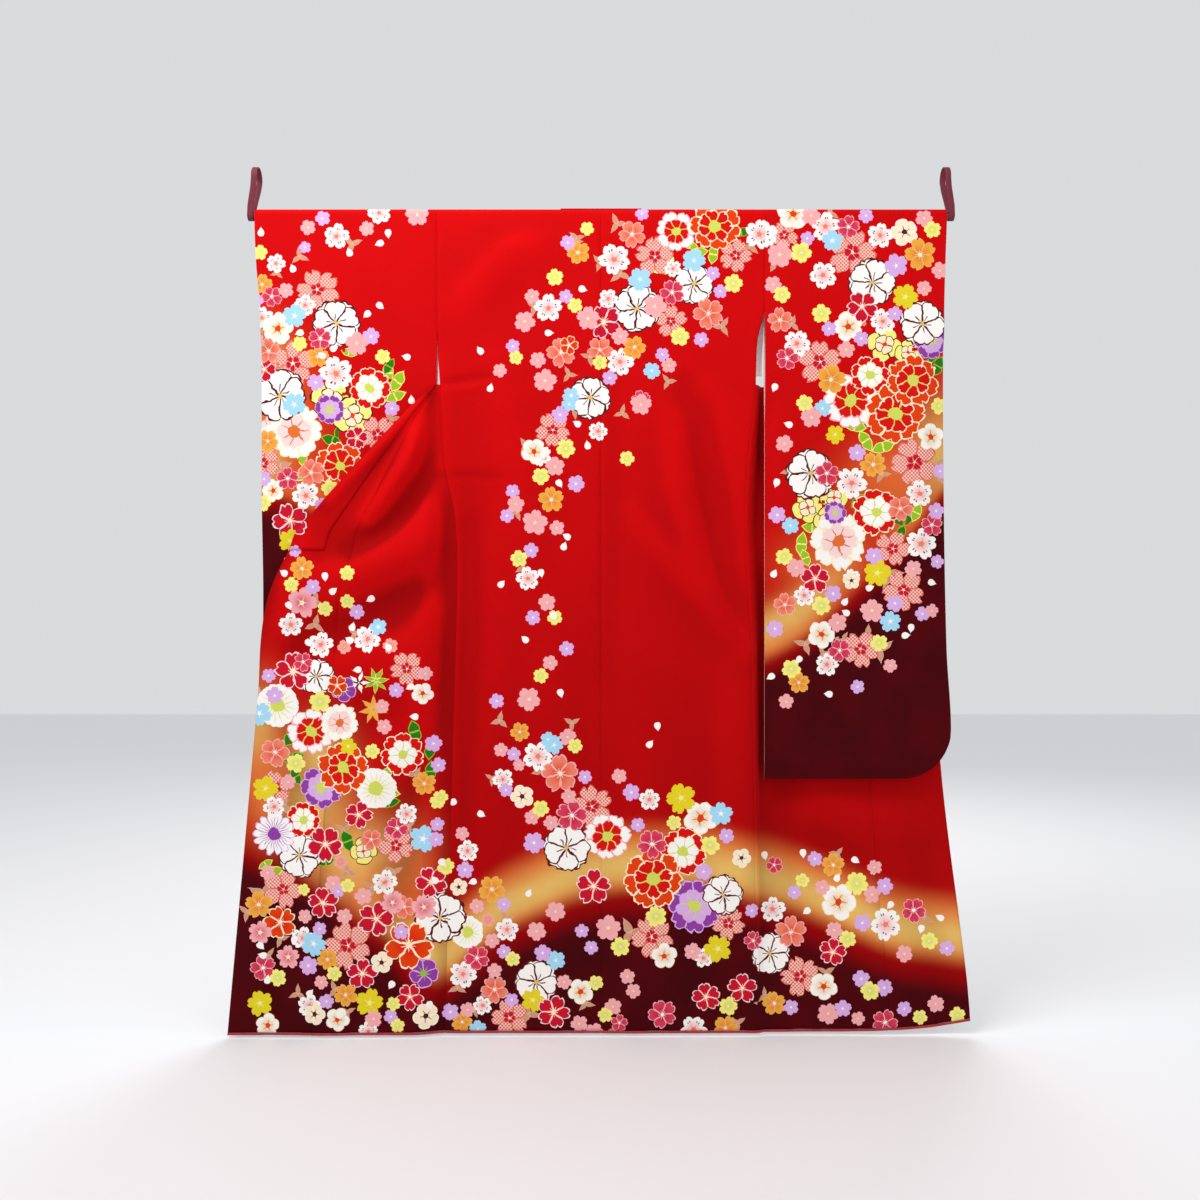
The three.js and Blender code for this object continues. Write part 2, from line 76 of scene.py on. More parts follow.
class Wire:
    # A socket that can be used in sums.
    def __init__(self, graph, socket):
        self.graph = graph
        self.socket = socket

    def maths(self, operation, *others):
        return self.graph.maths(operation, self, *others)

    def __add__(self, other):
        return self.maths("ADD", other)

    def __radd__(self, other):
        return self.graph.maths("ADD", other, self)

    def __sub__(self, other):
        return self.maths("SUBTRACT", other)

    def __rsub__(self, other):
        return self.graph.maths("SUBTRACT", other, self)

    def __mul__(self, other):
        return self.maths("MULTIPLY", other)

    def __rmul__(self, other):
        return self.graph.maths("MULTIPLY", other, self)

    def __truediv__(self, other):
        return self.maths("DIVIDE", other)

    def __rtruediv__(self, other):
        return self.graph.maths("DIVIDE", other, self)

    def __pow__(self, other):
        return self.maths("POWER", other)

    def above(self, other):
        return self.maths("GREATER_THAN", other)

    def below(self, other):
        return self.maths("LESS_THAN", other)

    def within(self, low, high):
        # 0 below low, 1 above high, smooth between them.
        settings = {"interpolation_type": "SMOOTHSTEP"}
        sockets = {0: self, 1: low, 2: high}
        return self.graph.wire("ShaderNodeMapRange", settings, sockets)


class Finish:
    # The nodes of one material.
    def __init__(self, name, **shader):
        self.material = bpy.data.materials.new(name)
        self.material.use_nodes = True
        self.tree = self.material.node_tree
        self.shader = self.tree.nodes["Principled BSDF"]
        for socket, value in shader.items():
            self.shader.inputs[socket.replace("_", " ")].default_value = value
        self.coordinates = None

    def add(self, kind, settings=None, sockets=None):
        node = self.tree.nodes.new(kind)
        for name, value in (settings or {}).items():
            setattr(node, name, value)
        for key, value in (sockets or {}).items():
            if isinstance(value, Wire):
                self.tree.links.new(value.socket, node.inputs[key])
            else:
                node.inputs[key].default_value = value
        return node

    def wire(self, kind, settings=None, sockets=None, output=0):
        return Wire(self, self.add(kind, settings, sockets).outputs[output])

    def maths(self, operation, *values):
        return self.wire("ShaderNodeMath", {"operation": operation}, dict(enumerate(values)))

    def mixed(self, share, under, over):
        settings = {"data_type": "RGBA", "clamp_factor": True}
        return self.wire("ShaderNodeMix", settings, {0: share, 6: under, 7: over}, 2)

    def noise(self, scale, detail=2, roughness=0.5, stretch=(1, 1, 1)):
        place = self.wire("ShaderNodeMapping", None, {"Vector": self.place(), "Scale": stretch})
        sockets = {"Vector": place, "Scale": scale, "Detail": detail, "Roughness": roughness}
        return self.wire("ShaderNodeTexNoise", None, sockets)

    def place(self):
        if self.coordinates is None:
            self.coordinates = self.wire("ShaderNodeTexCoord", output=3)
        return self.coordinates

    def axes(self):
        node = self.add("ShaderNodeSeparateXYZ", None, {0: self.place()})
        return [Wire(self, output) for output in node.outputs]

    def stored(self, name):
        node = self.add("ShaderNodeAttribute", {"attribute_name": name})
        return Wire(self, node.outputs["Color"]), Wire(self, node.outputs["Alpha"])

    def storedNumbers(self, name):
        colour, alpha = self.stored(name)
        parts = self.add("ShaderNodeSeparateColor", None, {0: colour})
        return [Wire(self, output) for output in parts.outputs] + [alpha]

    def feed(self, socket, value):
        self.tree.links.new(value.socket, self.shader.inputs[socket])

    def bump(self, height, distance, strength=1.0):
        sockets = {"Strength": strength, "Distance": distance, "Height": height}
        self.feed("Normal", self.wire("ShaderNodeBump", None, sockets))


# Floor, air and lights
room = {
    "floorSize": 14, "floorZ": -1.6555, "floor": (0.86, 0.86, 0.87, 1),
    "air": (0.93, 0.94, 0.96, 1), "airStrength": 0.75,
}
lights = {  # place, aim, size and power
    "ceiling": ((-0.9, -1.1, 1.2), (0, 0, -0.7), (1.4, 0.6), 34),
    "front": ((1.4, -2.6, -0.2), (0, 0, -0.9), (1.2, 1.2), 5),
    "far": ((0.6, 2.6, 1.0), (0, 0, -0.8), (2.0, 1.6), 34),
}


def buildFloor():
    clearSelection()
    bpy.ops.mesh.primitive_plane_add(size=room["floorSize"], location=(0, 0, room["floorZ"]))
    floor = bpy.context.object
    floor.name = "floor"
    floor.data.materials.append(Finish("floorPaint", Roughness=0.7, Base_Color=room["floor"]).material)


def buildLight(name, place, aim, size, power):
    lamp = bpy.data.lights.new(name, "AREA")
    lamp.shape = "RECTANGLE"
    lamp.size, lamp.size_y = size
    lamp.energy = power
    holder = bpy.data.objects.new(name, lamp)
    holder.location = place
    away = [place[i] - aim[i] for i in range(3)]
    holder.rotation_euler = (math.acos(away[2] / math.hypot(*away)), 0, math.atan2(away[0], -away[1]))
    bpy.context.scene.collection.objects.link(holder)


buildFloor()
for name, light in lights.items():
    buildLight(name, *light)
world = bpy.data.worlds.new("paleRoom")
world.use_nodes = True
world.node_tree.nodes["Background"].inputs["Color"].default_value = room["air"]
world.node_tree.nodes["Background"].inputs["Strength"].default_value = room["airStrength"]
bpy.context.scene.world = world
print("camera, floor and lights made")


# Forms of the cloth
def mix(a, b, share):
    return a + (b - a) * share


def ease(share):
    t = np.clip(share, 0, 1)
    return t * t * (3 - 2 * t)


def ramp(value, start, end):
    # 0 at start and 1 at end, eased between them.
    return ease((value - start) / (end - start))


def readTable(rows, place):
    # Smooth through the rows and never past them.
    places, values = np.array(rows, float).T
    place = np.clip(np.asarray(place, float), places[0], places[-1])
    i = np.clip(np.searchsorted(places, place, side="left"), 1, len(rows) - 1)
    before, after = np.maximum(0, i - 2), np.minimum(len(rows) - 1, i + 1)
    span = places[i] - places[i - 1]
    t = (place - places[i - 1]) / span
    slopeFrom = span * (values[i] - values[before]) / (places[i] - places[before])
    slopeTo = span * (values[after] - values[i - 1]) / (places[after] - places[i - 1])
    rise = values[i] - values[i - 1]
    bend = t * (slopeFrom + t * (3 * rise - 2 * slopeFrom - slopeTo))
    found = values[i - 1] + bend + t ** 3 * (slopeFrom + slopeTo - 2 * rise)
    return np.clip(found, np.minimum(values[i - 1], values[i]), np.maximum(values[i - 1], values[i]))


# Seams and free edges: level, distance from the centre back
seams = {
    -1: [(0, 316.5), (245, 316.5), (330, 311), (486, 303), (583, 284), (690, 278), (950, 284), (1590, 301)],
    1: [(0, 316.5), (190, 316.5), (255, 302), (370, 297), (467, 285), (602, 278), (850, 289), (1590, 302)],
}
fanEdges = {
    -1: [(330, 311), (618, 579), (658, 596), (712, 623), (762, 641), (834, 652), (920, 656), (1590, 716)],
    1: [(330, 311), (618, 566), (712, 618), (834, 645), (1065, 662), (1498, 706), (1590, 713)],
}
sleeveEdges = {
    -1: [(0, 669.5), (95, 666), (216, 657), (540, 657), (780, 654), (1101, 662)],
    1: [(0, 668), (200, 662), (525, 663), (850, 669), (980, 677), (1101, 678)],
}
# Depth of each drawn-out front above and at the hem, and how far the right hem rises across it
fanDepths = {-1: -27, 1: 21}
hemDepths = {-1: -27, 1: -8}
hemLift = [(0, 0), (0.5, 2), (0.8, 8), (1, 21)]

# Creases: from, through, to as x and level, then half width and height towards the viewer of the back
backCreases = [
    (156, 417, 135, 600, 278, 841, 34, 12), (64, 590, 150, 705, 289, 849, 28, 8),
    (160, 342, 200, 560, 268, 828, 26, -11), (199, 388, 232, 540, 257, 650, 22, -8),
    (-125, 42, -190, 100, -270, 190, 40, 8), (-262, 620, -262, 900, -268, 1380, 26, -7),
    (248, 900, 262, 1100, 240, 1420, 40, 8), (60, 1000, 90, 1200, 70, 1560, 60, 6),
    (-90, 700, -120, 1000, -100, 1500, 60, 6), (-258, 560, -240, 760, -262, 1000, 34, -8),
    (-312, 338, -260, 334, -200, 322, 9, -3),
    (-296, 517, -250, 514, -190, 520, 10, -3), (-300, 350, -262, 348, -215, 336, 9, 2.5),
    (-200, 300, -150, 520, -170, 760, 50, 6), (20, 250, 30, 560, 10, 900, 26, -4),
]
fanCreases = {
    -1: [
        (-312, 352, -345, 475, -440, 600, 24, 23), (-301, 420, -322, 562, -480, 668, 24, -14),
        (-325, 350, -405, 442, -520, 565, 11, 8), (-288, 590, -385, 700, -575, 725, 44, 16),
        (-292, 700, -400, 800, -600, 850, 40, -11), (-560, 610, -600, 700, -630, 900, 30, 5),
        (-300, 900, -420, 860, -560, 900, 60, 9), (-320, 980, -430, 1060, -560, 1300, 60, 7),
        (-310, 960, -370, 1120, -400, 1500, 50, -9), (-470, 1200, -500, 1350, -520, 1560, 50, 8),
        (-580, 1100, -610, 1300, -640, 1560, 34, -6), (-440, 400, -520, 500, -560, 570, 12, -4),
    ],
    1: [
        (312, 350, 390, 500, 560, 600, 40, 5), (306, 420, 370, 580, 590, 680, 38, -12),
        (290, 640, 420, 720, 620, 800, 46, 7), (330, 1140, 430, 1180, 600, 1190, 40, 9),
        (320, 1060, 430, 1230, 600, 1400, 46, -8), (320, 900, 340, 1150, 380, 1480, 44, -6),
        (470, 1250, 520, 1380, 540, 1560, 50, 7), (610, 1200, 640, 1380, 650, 1560, 40, -5),
    ],
}
sleeveCreases = {
    -1: [(-350, 260, -420, 500, -400, 900, 60, 3), (-600, 250, -560, 600, -590, 1000, 60, 4)],
    1: [
        (350, 260, 420, 560, 390, 980, 60, 5), (600, 300, 570, 640, 600, 1000, 60, 4),
        (325, 205, 360, 206, 400, 214, 9, -2.5), (470, 420, 500, 700, 480, 1000, 50, -4),
    ],
}
creaseEnds = (0.06, 0.94)  # the part of a half wave that a crease's height follows
creaseSteps = {"perWidth": 3, "least": 9}


def creaseRise(creases, x, level):
    rise = np.zeros(np.broadcast(x, level).shape)
    for x0, l0, x1, l1, x2, l2, width, height in creases:
        nearest = np.full(rise.shape, np.inf)
        share = np.zeros(rise.shape)
        length = math.hypot(x1 - x0, l1 - l0) + math.hypot(x2 - x1, l2 - l1)
        count = round(length / width * creaseSteps["perWidth"]) + creaseSteps["least"]
        for t in np.linspace(0, 1, count):
            lineX = mix(mix(x0, x1, t), mix(x1, x2, t), t)
            lineLevel = mix(mix(l0, l1, t), mix(l1, l2, t), t)
            away = np.hypot(x - lineX, level - lineLevel)
            closer = away < nearest
            nearest = np.where(closer, away, nearest)
            share = np.where(closer, t, share)
        along = np.sqrt(np.maximum(0, np.sin(np.pi * mix(*creaseEnds, share))))
        rise += height * np.exp(-((nearest / width) ** 2)) * along
    return rise


def overRod(level, side, lift=0):
    radius = drapeRadius + lift
    turn = np.arccos(1 - np.minimum(level, drapeRadius) / drapeRadius)
    below = level >= drapeRadius
    y = np.where(below, side * radius, side * radius * np.sin(turn))
    z = np.where(below, shoulderZ - level, radius * np.cos(turn) - rodDrop)
    return y, z


besideSeam = [0, 1.2, 2.6, 4.6]  # rows stand closer here, so that the tuck is round
seamTuck = {"depth": 1.3, "reach": 5, "levels": (12, 42)}


def stops(start, end, pitch, closeStart=True, closeEnd=True):
    # Even places from start to end, with closer ones beside a seam.
    first = [start + d for d in besideSeam] if closeStart else [start]
    last = [end - d for d in reversed(besideSeam)] if closeEnd else [end]
    count = max(1, round((last[0] - first[-1]) / pitch))
    return np.array(first[:-1] + list(np.linspace(first[-1], last[0], count + 1)) + last[1:])


def tuck(gap):
    # How far a sheet turns in beside a seam.
    return seamTuck["depth"] * (1 - ramp(gap, 0, seamTuck["reach"]))


# Levels of the seven rows that go over the rod, at even turns
turnLevels = [drapeRadius * (1 - math.cos(turn)) for turn in np.linspace(0.02, 1.5, 7)]


def hungLevels(endLevel):
    return np.array(turnLevels + list(stops(drapeRadius, endLevel, clothPitch, False, False)))[:, None]


# A pair of numbers in brackets: where something begins, and where it is full.
backCloth = {
    "hang": -15, "hangs": (armholeLevel, armholeLevel + 1200), "folds": (20, 80),
    "forward": 3.5, "forwardOut": (270, 310), "forwardBelow": (250, 330), "forwardAbove": (1200, 800),
}


def backDepth(x, level):
    hang = mix(-drapeRadius, backCloth["hang"], ramp(level, *backCloth["hangs"]))
    folds = creaseRise(backCreases, x, level) * ramp(level, *backCloth["folds"])
    # The left edge stands forward beside the front that is drawn out from it.
    forward = backCloth["forward"] * ramp(-x, *backCloth["forwardOut"])
    forward = forward * ramp(level, *backCloth["forwardBelow"]) * ramp(level, *backCloth["forwardAbove"])
    return hang - folds - forward


def backGrid(side):
    levels = hungLevels(hemLevel)
    outs = stops(0, backHalfWidth, clothPitch)[None, :]
    share = (outs - outs[0, 0]) / (outs[0, -1] - outs[0, 0])
    x = side * readTable(seams[side], levels) * share
    y, z = overRod(levels + 0 * x, -1)
    y = np.where(levels > drapeRadius, backDepth(x, levels + 0 * x), y)
    toSeam = np.minimum(np.abs(x), backHalfWidth * (1 - share))
    y = y + tuck(toSeam) * ramp(levels, *seamTuck["levels"])
    return np.stack([x, y, z], -1)


upperFront = {"endLevel": 320, "width": 240, "endOut": 312, "narrows": (200, 320)}
neckLine = {"start": 3, "slope": 0.933, "backLevel": 55, "backReach": 30}


def slantedNeck(level):
    return neckLine["start"] + neckLine["slope"] * level


def neckEdge(level):
    # The slanted edges, and above them the curve round the back of the neck.
    corner = slantedNeck(neckLine["backLevel"])
    curve = mix(corner + neckLine["backReach"], corner, level / neckLine["backLevel"])
    return np.where(level > neckLine["backLevel"], slantedNeck(level), curve)


def frontUpperGrid(side):
    levels = hungLevels(upperFront["endLevel"])
    share = (stops(0, upperFront["width"], clothPitch) / upperFront["width"])[None, :]
    armhole = mix(backHalfWidth, upperFront["endOut"], ramp(levels, *upperFront["narrows"]))
    x = side * mix(neckEdge(levels), armhole, share)
    y, z = overRod(levels + 0 * x, 1)
    return np.stack([x, y, z], -1)


sleeveCloth = {
    "width": 350, "drop": 1090, "corner": 95, "cornerShare": (0, 0.25), "folds": (200, 300),
    "bottomHalf": 6.5, "seamHalf": 1.15, "innerHalf": 2, "bottomSeam": 40, "cuffLevels": (235, 280),
    "cuffShare": (0.86, 1), "innerLevels": (340, 420), "innerShare": (0.09, 0),
    "tuckFades": (armholeLevel, armholeLevel - 20),
}


def sleeveGrid(side):
    # Both layers in one sheet: up the far layer, over the rod and down the near one.
    width, corner, seam = (sleeveCloth[name] for name in ("width", "corner", "bottomSeam"))
    edge = sleeveEdges[side]
    innerOut = backHalfWidth + seamGap
    edgeOut = readTable(edge, sleeveLevel)
    share = (stops(0, width, clothPitch) / width)[None, :]
    inCorner = np.clip(mix(innerOut, edgeOut, share) - (edgeOut - corner), 0, corner)
    rounding = corner - np.sqrt(corner ** 2 - inCorner ** 2)
    bottom = sleeveLevel - rounding * ramp(share, *sleeveCloth["cornerShare"])
    rows = stops(0, sleeveCloth["drop"], clothPitch, False, True)[:, None] / sleeveCloth["drop"]
    hanging = mix(drapeRadius, bottom, rows)
    level = np.concatenate([np.array(turnLevels)[:, None] + 0 * share, hanging], 0)
    x = side * mix(innerOut, readTable(edge, level), share)
    apart = mix(drapeRadius, sleeveCloth["bottomHalf"], ramp(level, armholeLevel, sleeveLevel))
    cuff = ramp(level, *sleeveCloth["cuffLevels"]) * ramp(share, *sleeveCloth["cuffShare"])
    bottomSeam = ease((level - bottom + seam) / seam)
    innerEdge = ramp(level, *sleeveCloth["innerLevels"]) * ramp(share, *sleeveCloth["innerShare"])
    half = mix(apart, sleeveCloth["innerHalf"], innerEdge)
    half = mix(half, sleeveCloth["seamHalf"], np.maximum(cuff, bottomSeam))
    folds = creaseRise(sleeveCreases[side], x, level) * (1 - cuff) * (1 - bottomSeam)
    folds = folds * ramp(level, *sleeveCloth["folds"])
    inward = tuck(width * share) * ramp(level, *seamTuck["levels"]) * ramp(level, *sleeveCloth["tuckFades"])
    layers = []
    for face in (1, -1):
        y, z = overRod(level, face)
        y = np.where(level > drapeRadius, face * half - folds - face * inward, y)
        layers.append(np.stack([x, y, z], -1))
    grid = np.concatenate([layers[0][::-1], layers[1]], 0)
    return grid if side > 0 else grid[:, ::-1]


frontCloth = {
    "topLevel": 340, "okumiFrom": 0.62, "bodyWidth": 240, "okumiWidth": 150, "pitch": 6.2,
    "leftReach": 60, "rightReach": 30, "besideBack": 2.5, "tuckLevels": (345, 365), "liftFrom": 1100,
}


def frontLevels():
    return stops(frontCloth["topLevel"], hemLevel, clothPitch, False, False)


def fanReach(side, level):
    # The width over which a front leaves the back; the right one is away before its sleeve begins.
    if side < 0:
        return frontCloth["leftReach"] + 0 * level
    free = backHalfWidth - readTable(seams[1], level) - frontCloth["besideBack"]
    return np.minimum(frontCloth["rightReach"], free)


def fanGrid(side, fromShare, toShare, columns):
    level = frontLevels()[:, None]
    seamOut = readTable(seams[side], level) + seamGap
    edgeOut = readTable(fanEdges[side], level)
    width = edgeOut - seamOut
    share = mix(fromShare, toShare, columns[None, :])
    x = side * mix(seamOut, edgeOut, share)
    begin = backDepth(side * readTable(seams[side], level), level)
    away = ease(share * width / fanReach(side, level))
    folds = creaseRise(fanCreases[side], x, level + 0 * x)
    forward = ramp(level, sleeveLevel, hemLevel)
    y = mix(begin, mix(fanDepths[side], hemDepths[side], forward), away) - folds * away
    toSeam = (share - fromShare) * width
    if toShare < 1:
        toSeam = np.minimum(toSeam, (toShare - share) * width)
    y = y + tuck(toSeam) * ramp(level, *frontCloth["tuckLevels"])
    lift = 0 * share if side < 0 else readTable(hemLift, share)
    z = shoulderZ - level + lift * ramp(level, frontCloth["liftFrom"], hemLevel)
    return np.stack([x, y, z], -1)


def fanBodyGrid(side):
    width = frontCloth["bodyWidth"]
    return fanGrid(side, 0, frontCloth["okumiFrom"], stops(0, width, frontCloth["pitch"]) / width)


def okumiGrid(side):
    width = frontCloth["okumiWidth"]
    return fanGrid(side, frontCloth["okumiFrom"], 1, stops(0, width, frontCloth["pitch"], True, False) / width)


def unitRows(vectors):
    return vectors / np.maximum(np.linalg.norm(vectors, axis=-1, keepdims=True), 1e-9)


def gridNormals(grid):
    return unitRows(np.cross(np.gradient(grid, axis=0), np.gradient(grid, axis=1)))


def movedOut(grid, distance):
    return grid + gridNormals(grid) * distance


collar = {
    "legRows": 61, "neckRows": 25, "width": 75, "outLimit": 309, "lift": 2.7, "endLift": 2.1, "endLevel": 660,
}
collarColumns = [0.24, 0.32, 0.42, 0.56, 0.7, 0.85, 1]
# Down one side: level of the seam, level of the free edge
collarLeg = [
    (0.01, 55), (0.8, 56), (3.1, 57.5), (6.5, 59.5), (10.3, 62), (25, 70), (45, 82), (75, 99),
    (110, 122), (152, 157), (200, 200), (240, 240), (278, 278), (312, 312),
]


def collarGrid():
    steps = np.linspace(0, len(collarLeg) - 1, collar["legRows"])
    legs = [np.interp(steps, range(len(collarLeg)), column) for column in np.array(collarLeg, float).T]
    overRodColumns = [level / neckLine["backLevel"] for level in turnLevels + [drapeRadius]]
    across = np.array(overRodColumns + collarColumns)

    def row(seam, edge, reach):
        outer = min(slantedNeck(seam) + collar["width"], collar["outLimit"])
        y, z = overRod(mix(seam, edge, across), 1, collar["lift"])
        return np.stack([reach * mix(outer, neckEdge(edge), across), y, z], -1)

    leg = list(zip(*legs))
    rows = [row(*levels, -1) for levels in leg[::-1]]
    rows += [row(*collarLeg[0], reach) for reach in np.linspace(-1, 1, collar["neckRows"])[1:-1]]
    rows += [row(*levels, 1) for levels in leg]
    return np.array(rows)


# The painted design. Where its main motifs sit was judged; their forms are drawn by rule.
tones = {
    "white": (250, 246, 240), "cream": (250, 232, 196), "pink": (243, 172, 176), "lilac": (216, 172, 226),
    "lemon": (246, 236, 128), "sky": (164, 215, 240), "orange": (240, 165, 60), "coral": (236, 130, 102),
    "crimson": (196, 22, 50), "scarlet": (214, 20, 16), "flame": (226, 64, 14), "purple": (146, 62, 160),
    "yellow": (228, 208, 40), "lime": (150, 192, 40), "leaf": (44, 118, 28), "taupe": (202, 154, 120),
    "brown": (96, 24, 24), "mesh": (238, 166, 152), "veil": (248, 206, 192), "lining": (246, 226, 224),
    "rose": (214, 62, 92), "gold": (226, 186, 100), "maroon": (66, 4, 10), "red": (205, 4, 7),
    "meshDark": (222, 104, 92), "blush": (250, 214, 212), "pollen": (208, 216, 92), "amber": (226, 112, 52),
    "deepRed": (146, 2, 5),
}
linear = {name: toLinear(*tone) for name, tone in tones.items()}

# Outline of each motif: petals, dip between them, roundness, notch, outline width, heart radius, inner ring
motifForms = {
    "bud": (5, 0.30, 2.4, 0.12, 0, 0.12, -0.5),
    "sakura": (5, 0.34, 2.6, 0.14, 0, 0.16, -0.5),
    "starry": (5, 0.34, 2.6, 0.14, 0.08, 0.12, -0.45),
    "plum": (5, 0.24, 2.6, 0, 0.07, 0.20, -0.4),
    "double": (5, 0.22, 3.0, 0.08, 0.07, 0.09, 0),
    "mesh": (5, 0.40, 2.6, 0.20, 0.06, 0.06, 0.34),
    "peony": (7, 0.16, 2.6, 0.10, 0.055, 0.22, 0.66),
    "daisy": (14, 0.22, 2.4, 0, 0.05, 0.30, -0.3),
    "pompom": (16, 0.05, 2.0, 0, 0, 0.34, -0.5),
    "cloud": (4, 0.26, 3.0, 0, 0.07, 0.12, 0.56),
    "maple": (7, 0.62, 0.6, 0, 0.08, 0.05, -0.5),
    "lens": (5, 0.74, 0.55, 0, 0.12, 0.05, -0.5),
    "leaf": (2, 0.62, 0.5, 0, 0.12, 0.02, -0.6),
    "sprig": (3, 0.80, 0.5, 0, 0.08, 0.02, -0.6),
    "petal": (1, 0.80, 0.36, 0, 0, 0, -0.6),
}

# Each kind of motif: how high it lies, its form, then the tones of petal, outline, heart and inner part
looks = {
    "taupe": (0, "sprig", "taupe", "mesh", "taupe", "taupe"),
    "leaf": (0, "leaf", "lime", "lemon", "leaf", "lime"),
    "leafDark": (0, "leaf", "leaf", "lime", "lime", "leaf"),
    "cloud": (1, "cloud", "lemon", "brown", "flame", "cream"),
    "mesh": (1, "mesh", "veil", "meshDark", "cream", "crimson"),
    "lime": (1, "pompom", "white", "cream", "pollen", "cream"),
    "maple": (1, "maple", "lime", "lemon", "leaf", "lime"),
    "mapleOrange": (1, "maple", "orange", "gold", "flame", "orange"),
    "lens": (2, "lens", "white", "brown", "white", "white"),
    "doubleUnder": (2, "double", "white", "brown", "white", "blush"),
    "peonyWhite": (2, "peony", "white", "pink", "pollen", "scarlet"),
    "peonyPurple": (2, "peony", "purple", "lilac", "pollen", "lilac"),
    "peonyCream": (2, "peony", "white", "cream", "amber", "blush"),
    "peony": (3, "peony", "scarlet", "cream", "pollen", "white"),
    "peonyOrange": (3, "peony", "flame", "cream", "pollen", "scarlet"),
    "daisy": (3, "daisy", "white", "lilac", "purple", "white"),
    "double": (3, "double", "white", "brown", "gold", "white"),
    "white": (4, "sakura", "white", "brown", "coral", "pink"),
    "whiteOrange": (4, "plum", "white", "cream", "flame", "gold"),
    "creamPlum": (4, "plum", "cream", "white", "brown", "cream"),
    "gold": (4, "starry", "orange", "gold", "cream", "amber"),
    "yellow": (4, "sakura", "yellow", "lemon", "lemon", "yellow"),
    "blue": (4, "sakura", "sky", "white", "white", "sky"),
    "rose": (4, "starry", "rose", "pink", "white", "crimson"),
    "red": (4, "starry", "crimson", "blush", "cream", "scarlet"),
    "orange": (4, "starry", "flame", "cream", "cream", "scarlet"),
    "salmon": (4, "starry", "coral", "pink", "cream", "flame"),
    "plum": (4, "plum", "purple", "lilac", "lime", "purple"),
    "pinkSakura": (4, "sakura", "pink", "blush", "cream", "rose"),
    "pink": (5, "bud", "pink", "pink", "blush", "mesh"),
    "coral": (5, "bud", "mesh", "pink", "pink", "coral"),
    "lilac": (5, "bud", "lilac", "lilac", "white", "lilac"),
    "lemon": (5, "bud", "lemon", "lemon", "cream", "pollen"),
    "sky": (5, "bud", "sky", "white", "white", "sky"),
    "petal": (6, "petal", "white", "white", "white", "white"),
}
# What is drawn on the petals of some kinds
marks = {"lattice": 1.0, "dashes": 0.5, "spikes": 0.25}
petalMarks = {"mesh": marks["lattice"], "white": marks["dashes"], "double": marks["spikes"]}
# Kinds that may have a twig behind them
leafyKinds = ("salmon", "gold", "whiteOrange", "rose", "mesh", "white")

# Where the main motifs sit: x, level, radius
leftSleeveSpots = {
    "taupe": [(-481, 68, 23), (-581, 93, 21), (-492, 529, 23), (-403, 407, 21)],
    "leaf": [
        (-411, 318, 25), (-392, 334, 25), (-396, 363, 23), (-575, 477, 23), (-573, 511, 23), (-486, 278, 17),
    ],
    "leafDark": [(-502, 427, 23), (-519, 448, 23), (-409, 305, 19), (-465, 521, 21)],
    "cloud": [(-521, 369, 41), (-479, 400, 39)],
    "mesh": [(-546, 158, 42), (-593, 299, 44), (-430, 436, 37), (-654, 490, 35)],
    "double": [(-511, 222, 46), (-620, 361, 52)],
    "peony": [(-446, 347, 41)],
    "peonyOrange": [(-504, 496, 48)],
    "peonyCream": [(-591, 430, 54), (-654, 400, 35)],
    "peonyPurple": [(-523, 388, 29)],
    "white": [
        (-510, 54, 25), (-428, 8, 23), (-627, 106, 19), (-571, 187, 21), (-511, 318, 33), (-569, 554, 27),
        (-654, 212, 23),
    ],
    "whiteOrange": [(-623, 232, 31), (-633, 544, 23)],
    "gold": [(-654, 147, 21), (-645, 448, 23), (-546, 286, 21)],
    "rose": [(-635, 170, 21), (-542, 251, 23), (-604, 521, 23)],
    "blue": [(-591, 207, 23), (-591, 378, 23)],
    "red": [(-600, 604, 37), (-652, 309, 25), (-471, 442, 23)],
    "salmon": [(-558, 510, 27), (-643, 274, 25)],
    "yellow": [(-600, 641, 23)],
    "lilac": [
        (-537, 19, 15), (-571, 75, 12), (-444, 247, 17), (-550, 336, 17), (-652, 521, 15), (-666, 178, 15),
        (-538, 573, 15), (-403, 386, 15),
    ],
    "pink": [
        (-565, 37, 15), (-355, 12, 23), (-452, 39, 15), (-608, 158, 15), (-471, 261, 23), (-664, 255, 15),
        (-484, 552, 15), (-384, 454, 15),
    ],
    "lemon": [(-658, 85, 15), (-421, 286, 15), (-581, 261, 15), (-654, 567, 17), (-523, 540, 17)],
    "petal": [
        (-656, 50), (-593, 120), (-411, 44), (-423, 66), (-484, 89), (-577, 239), (-448, 201), (-430, 185),
        (-519, 272), (-535, 286), (-371, 288), (-378, 419), (-365, 374),
    ],
}
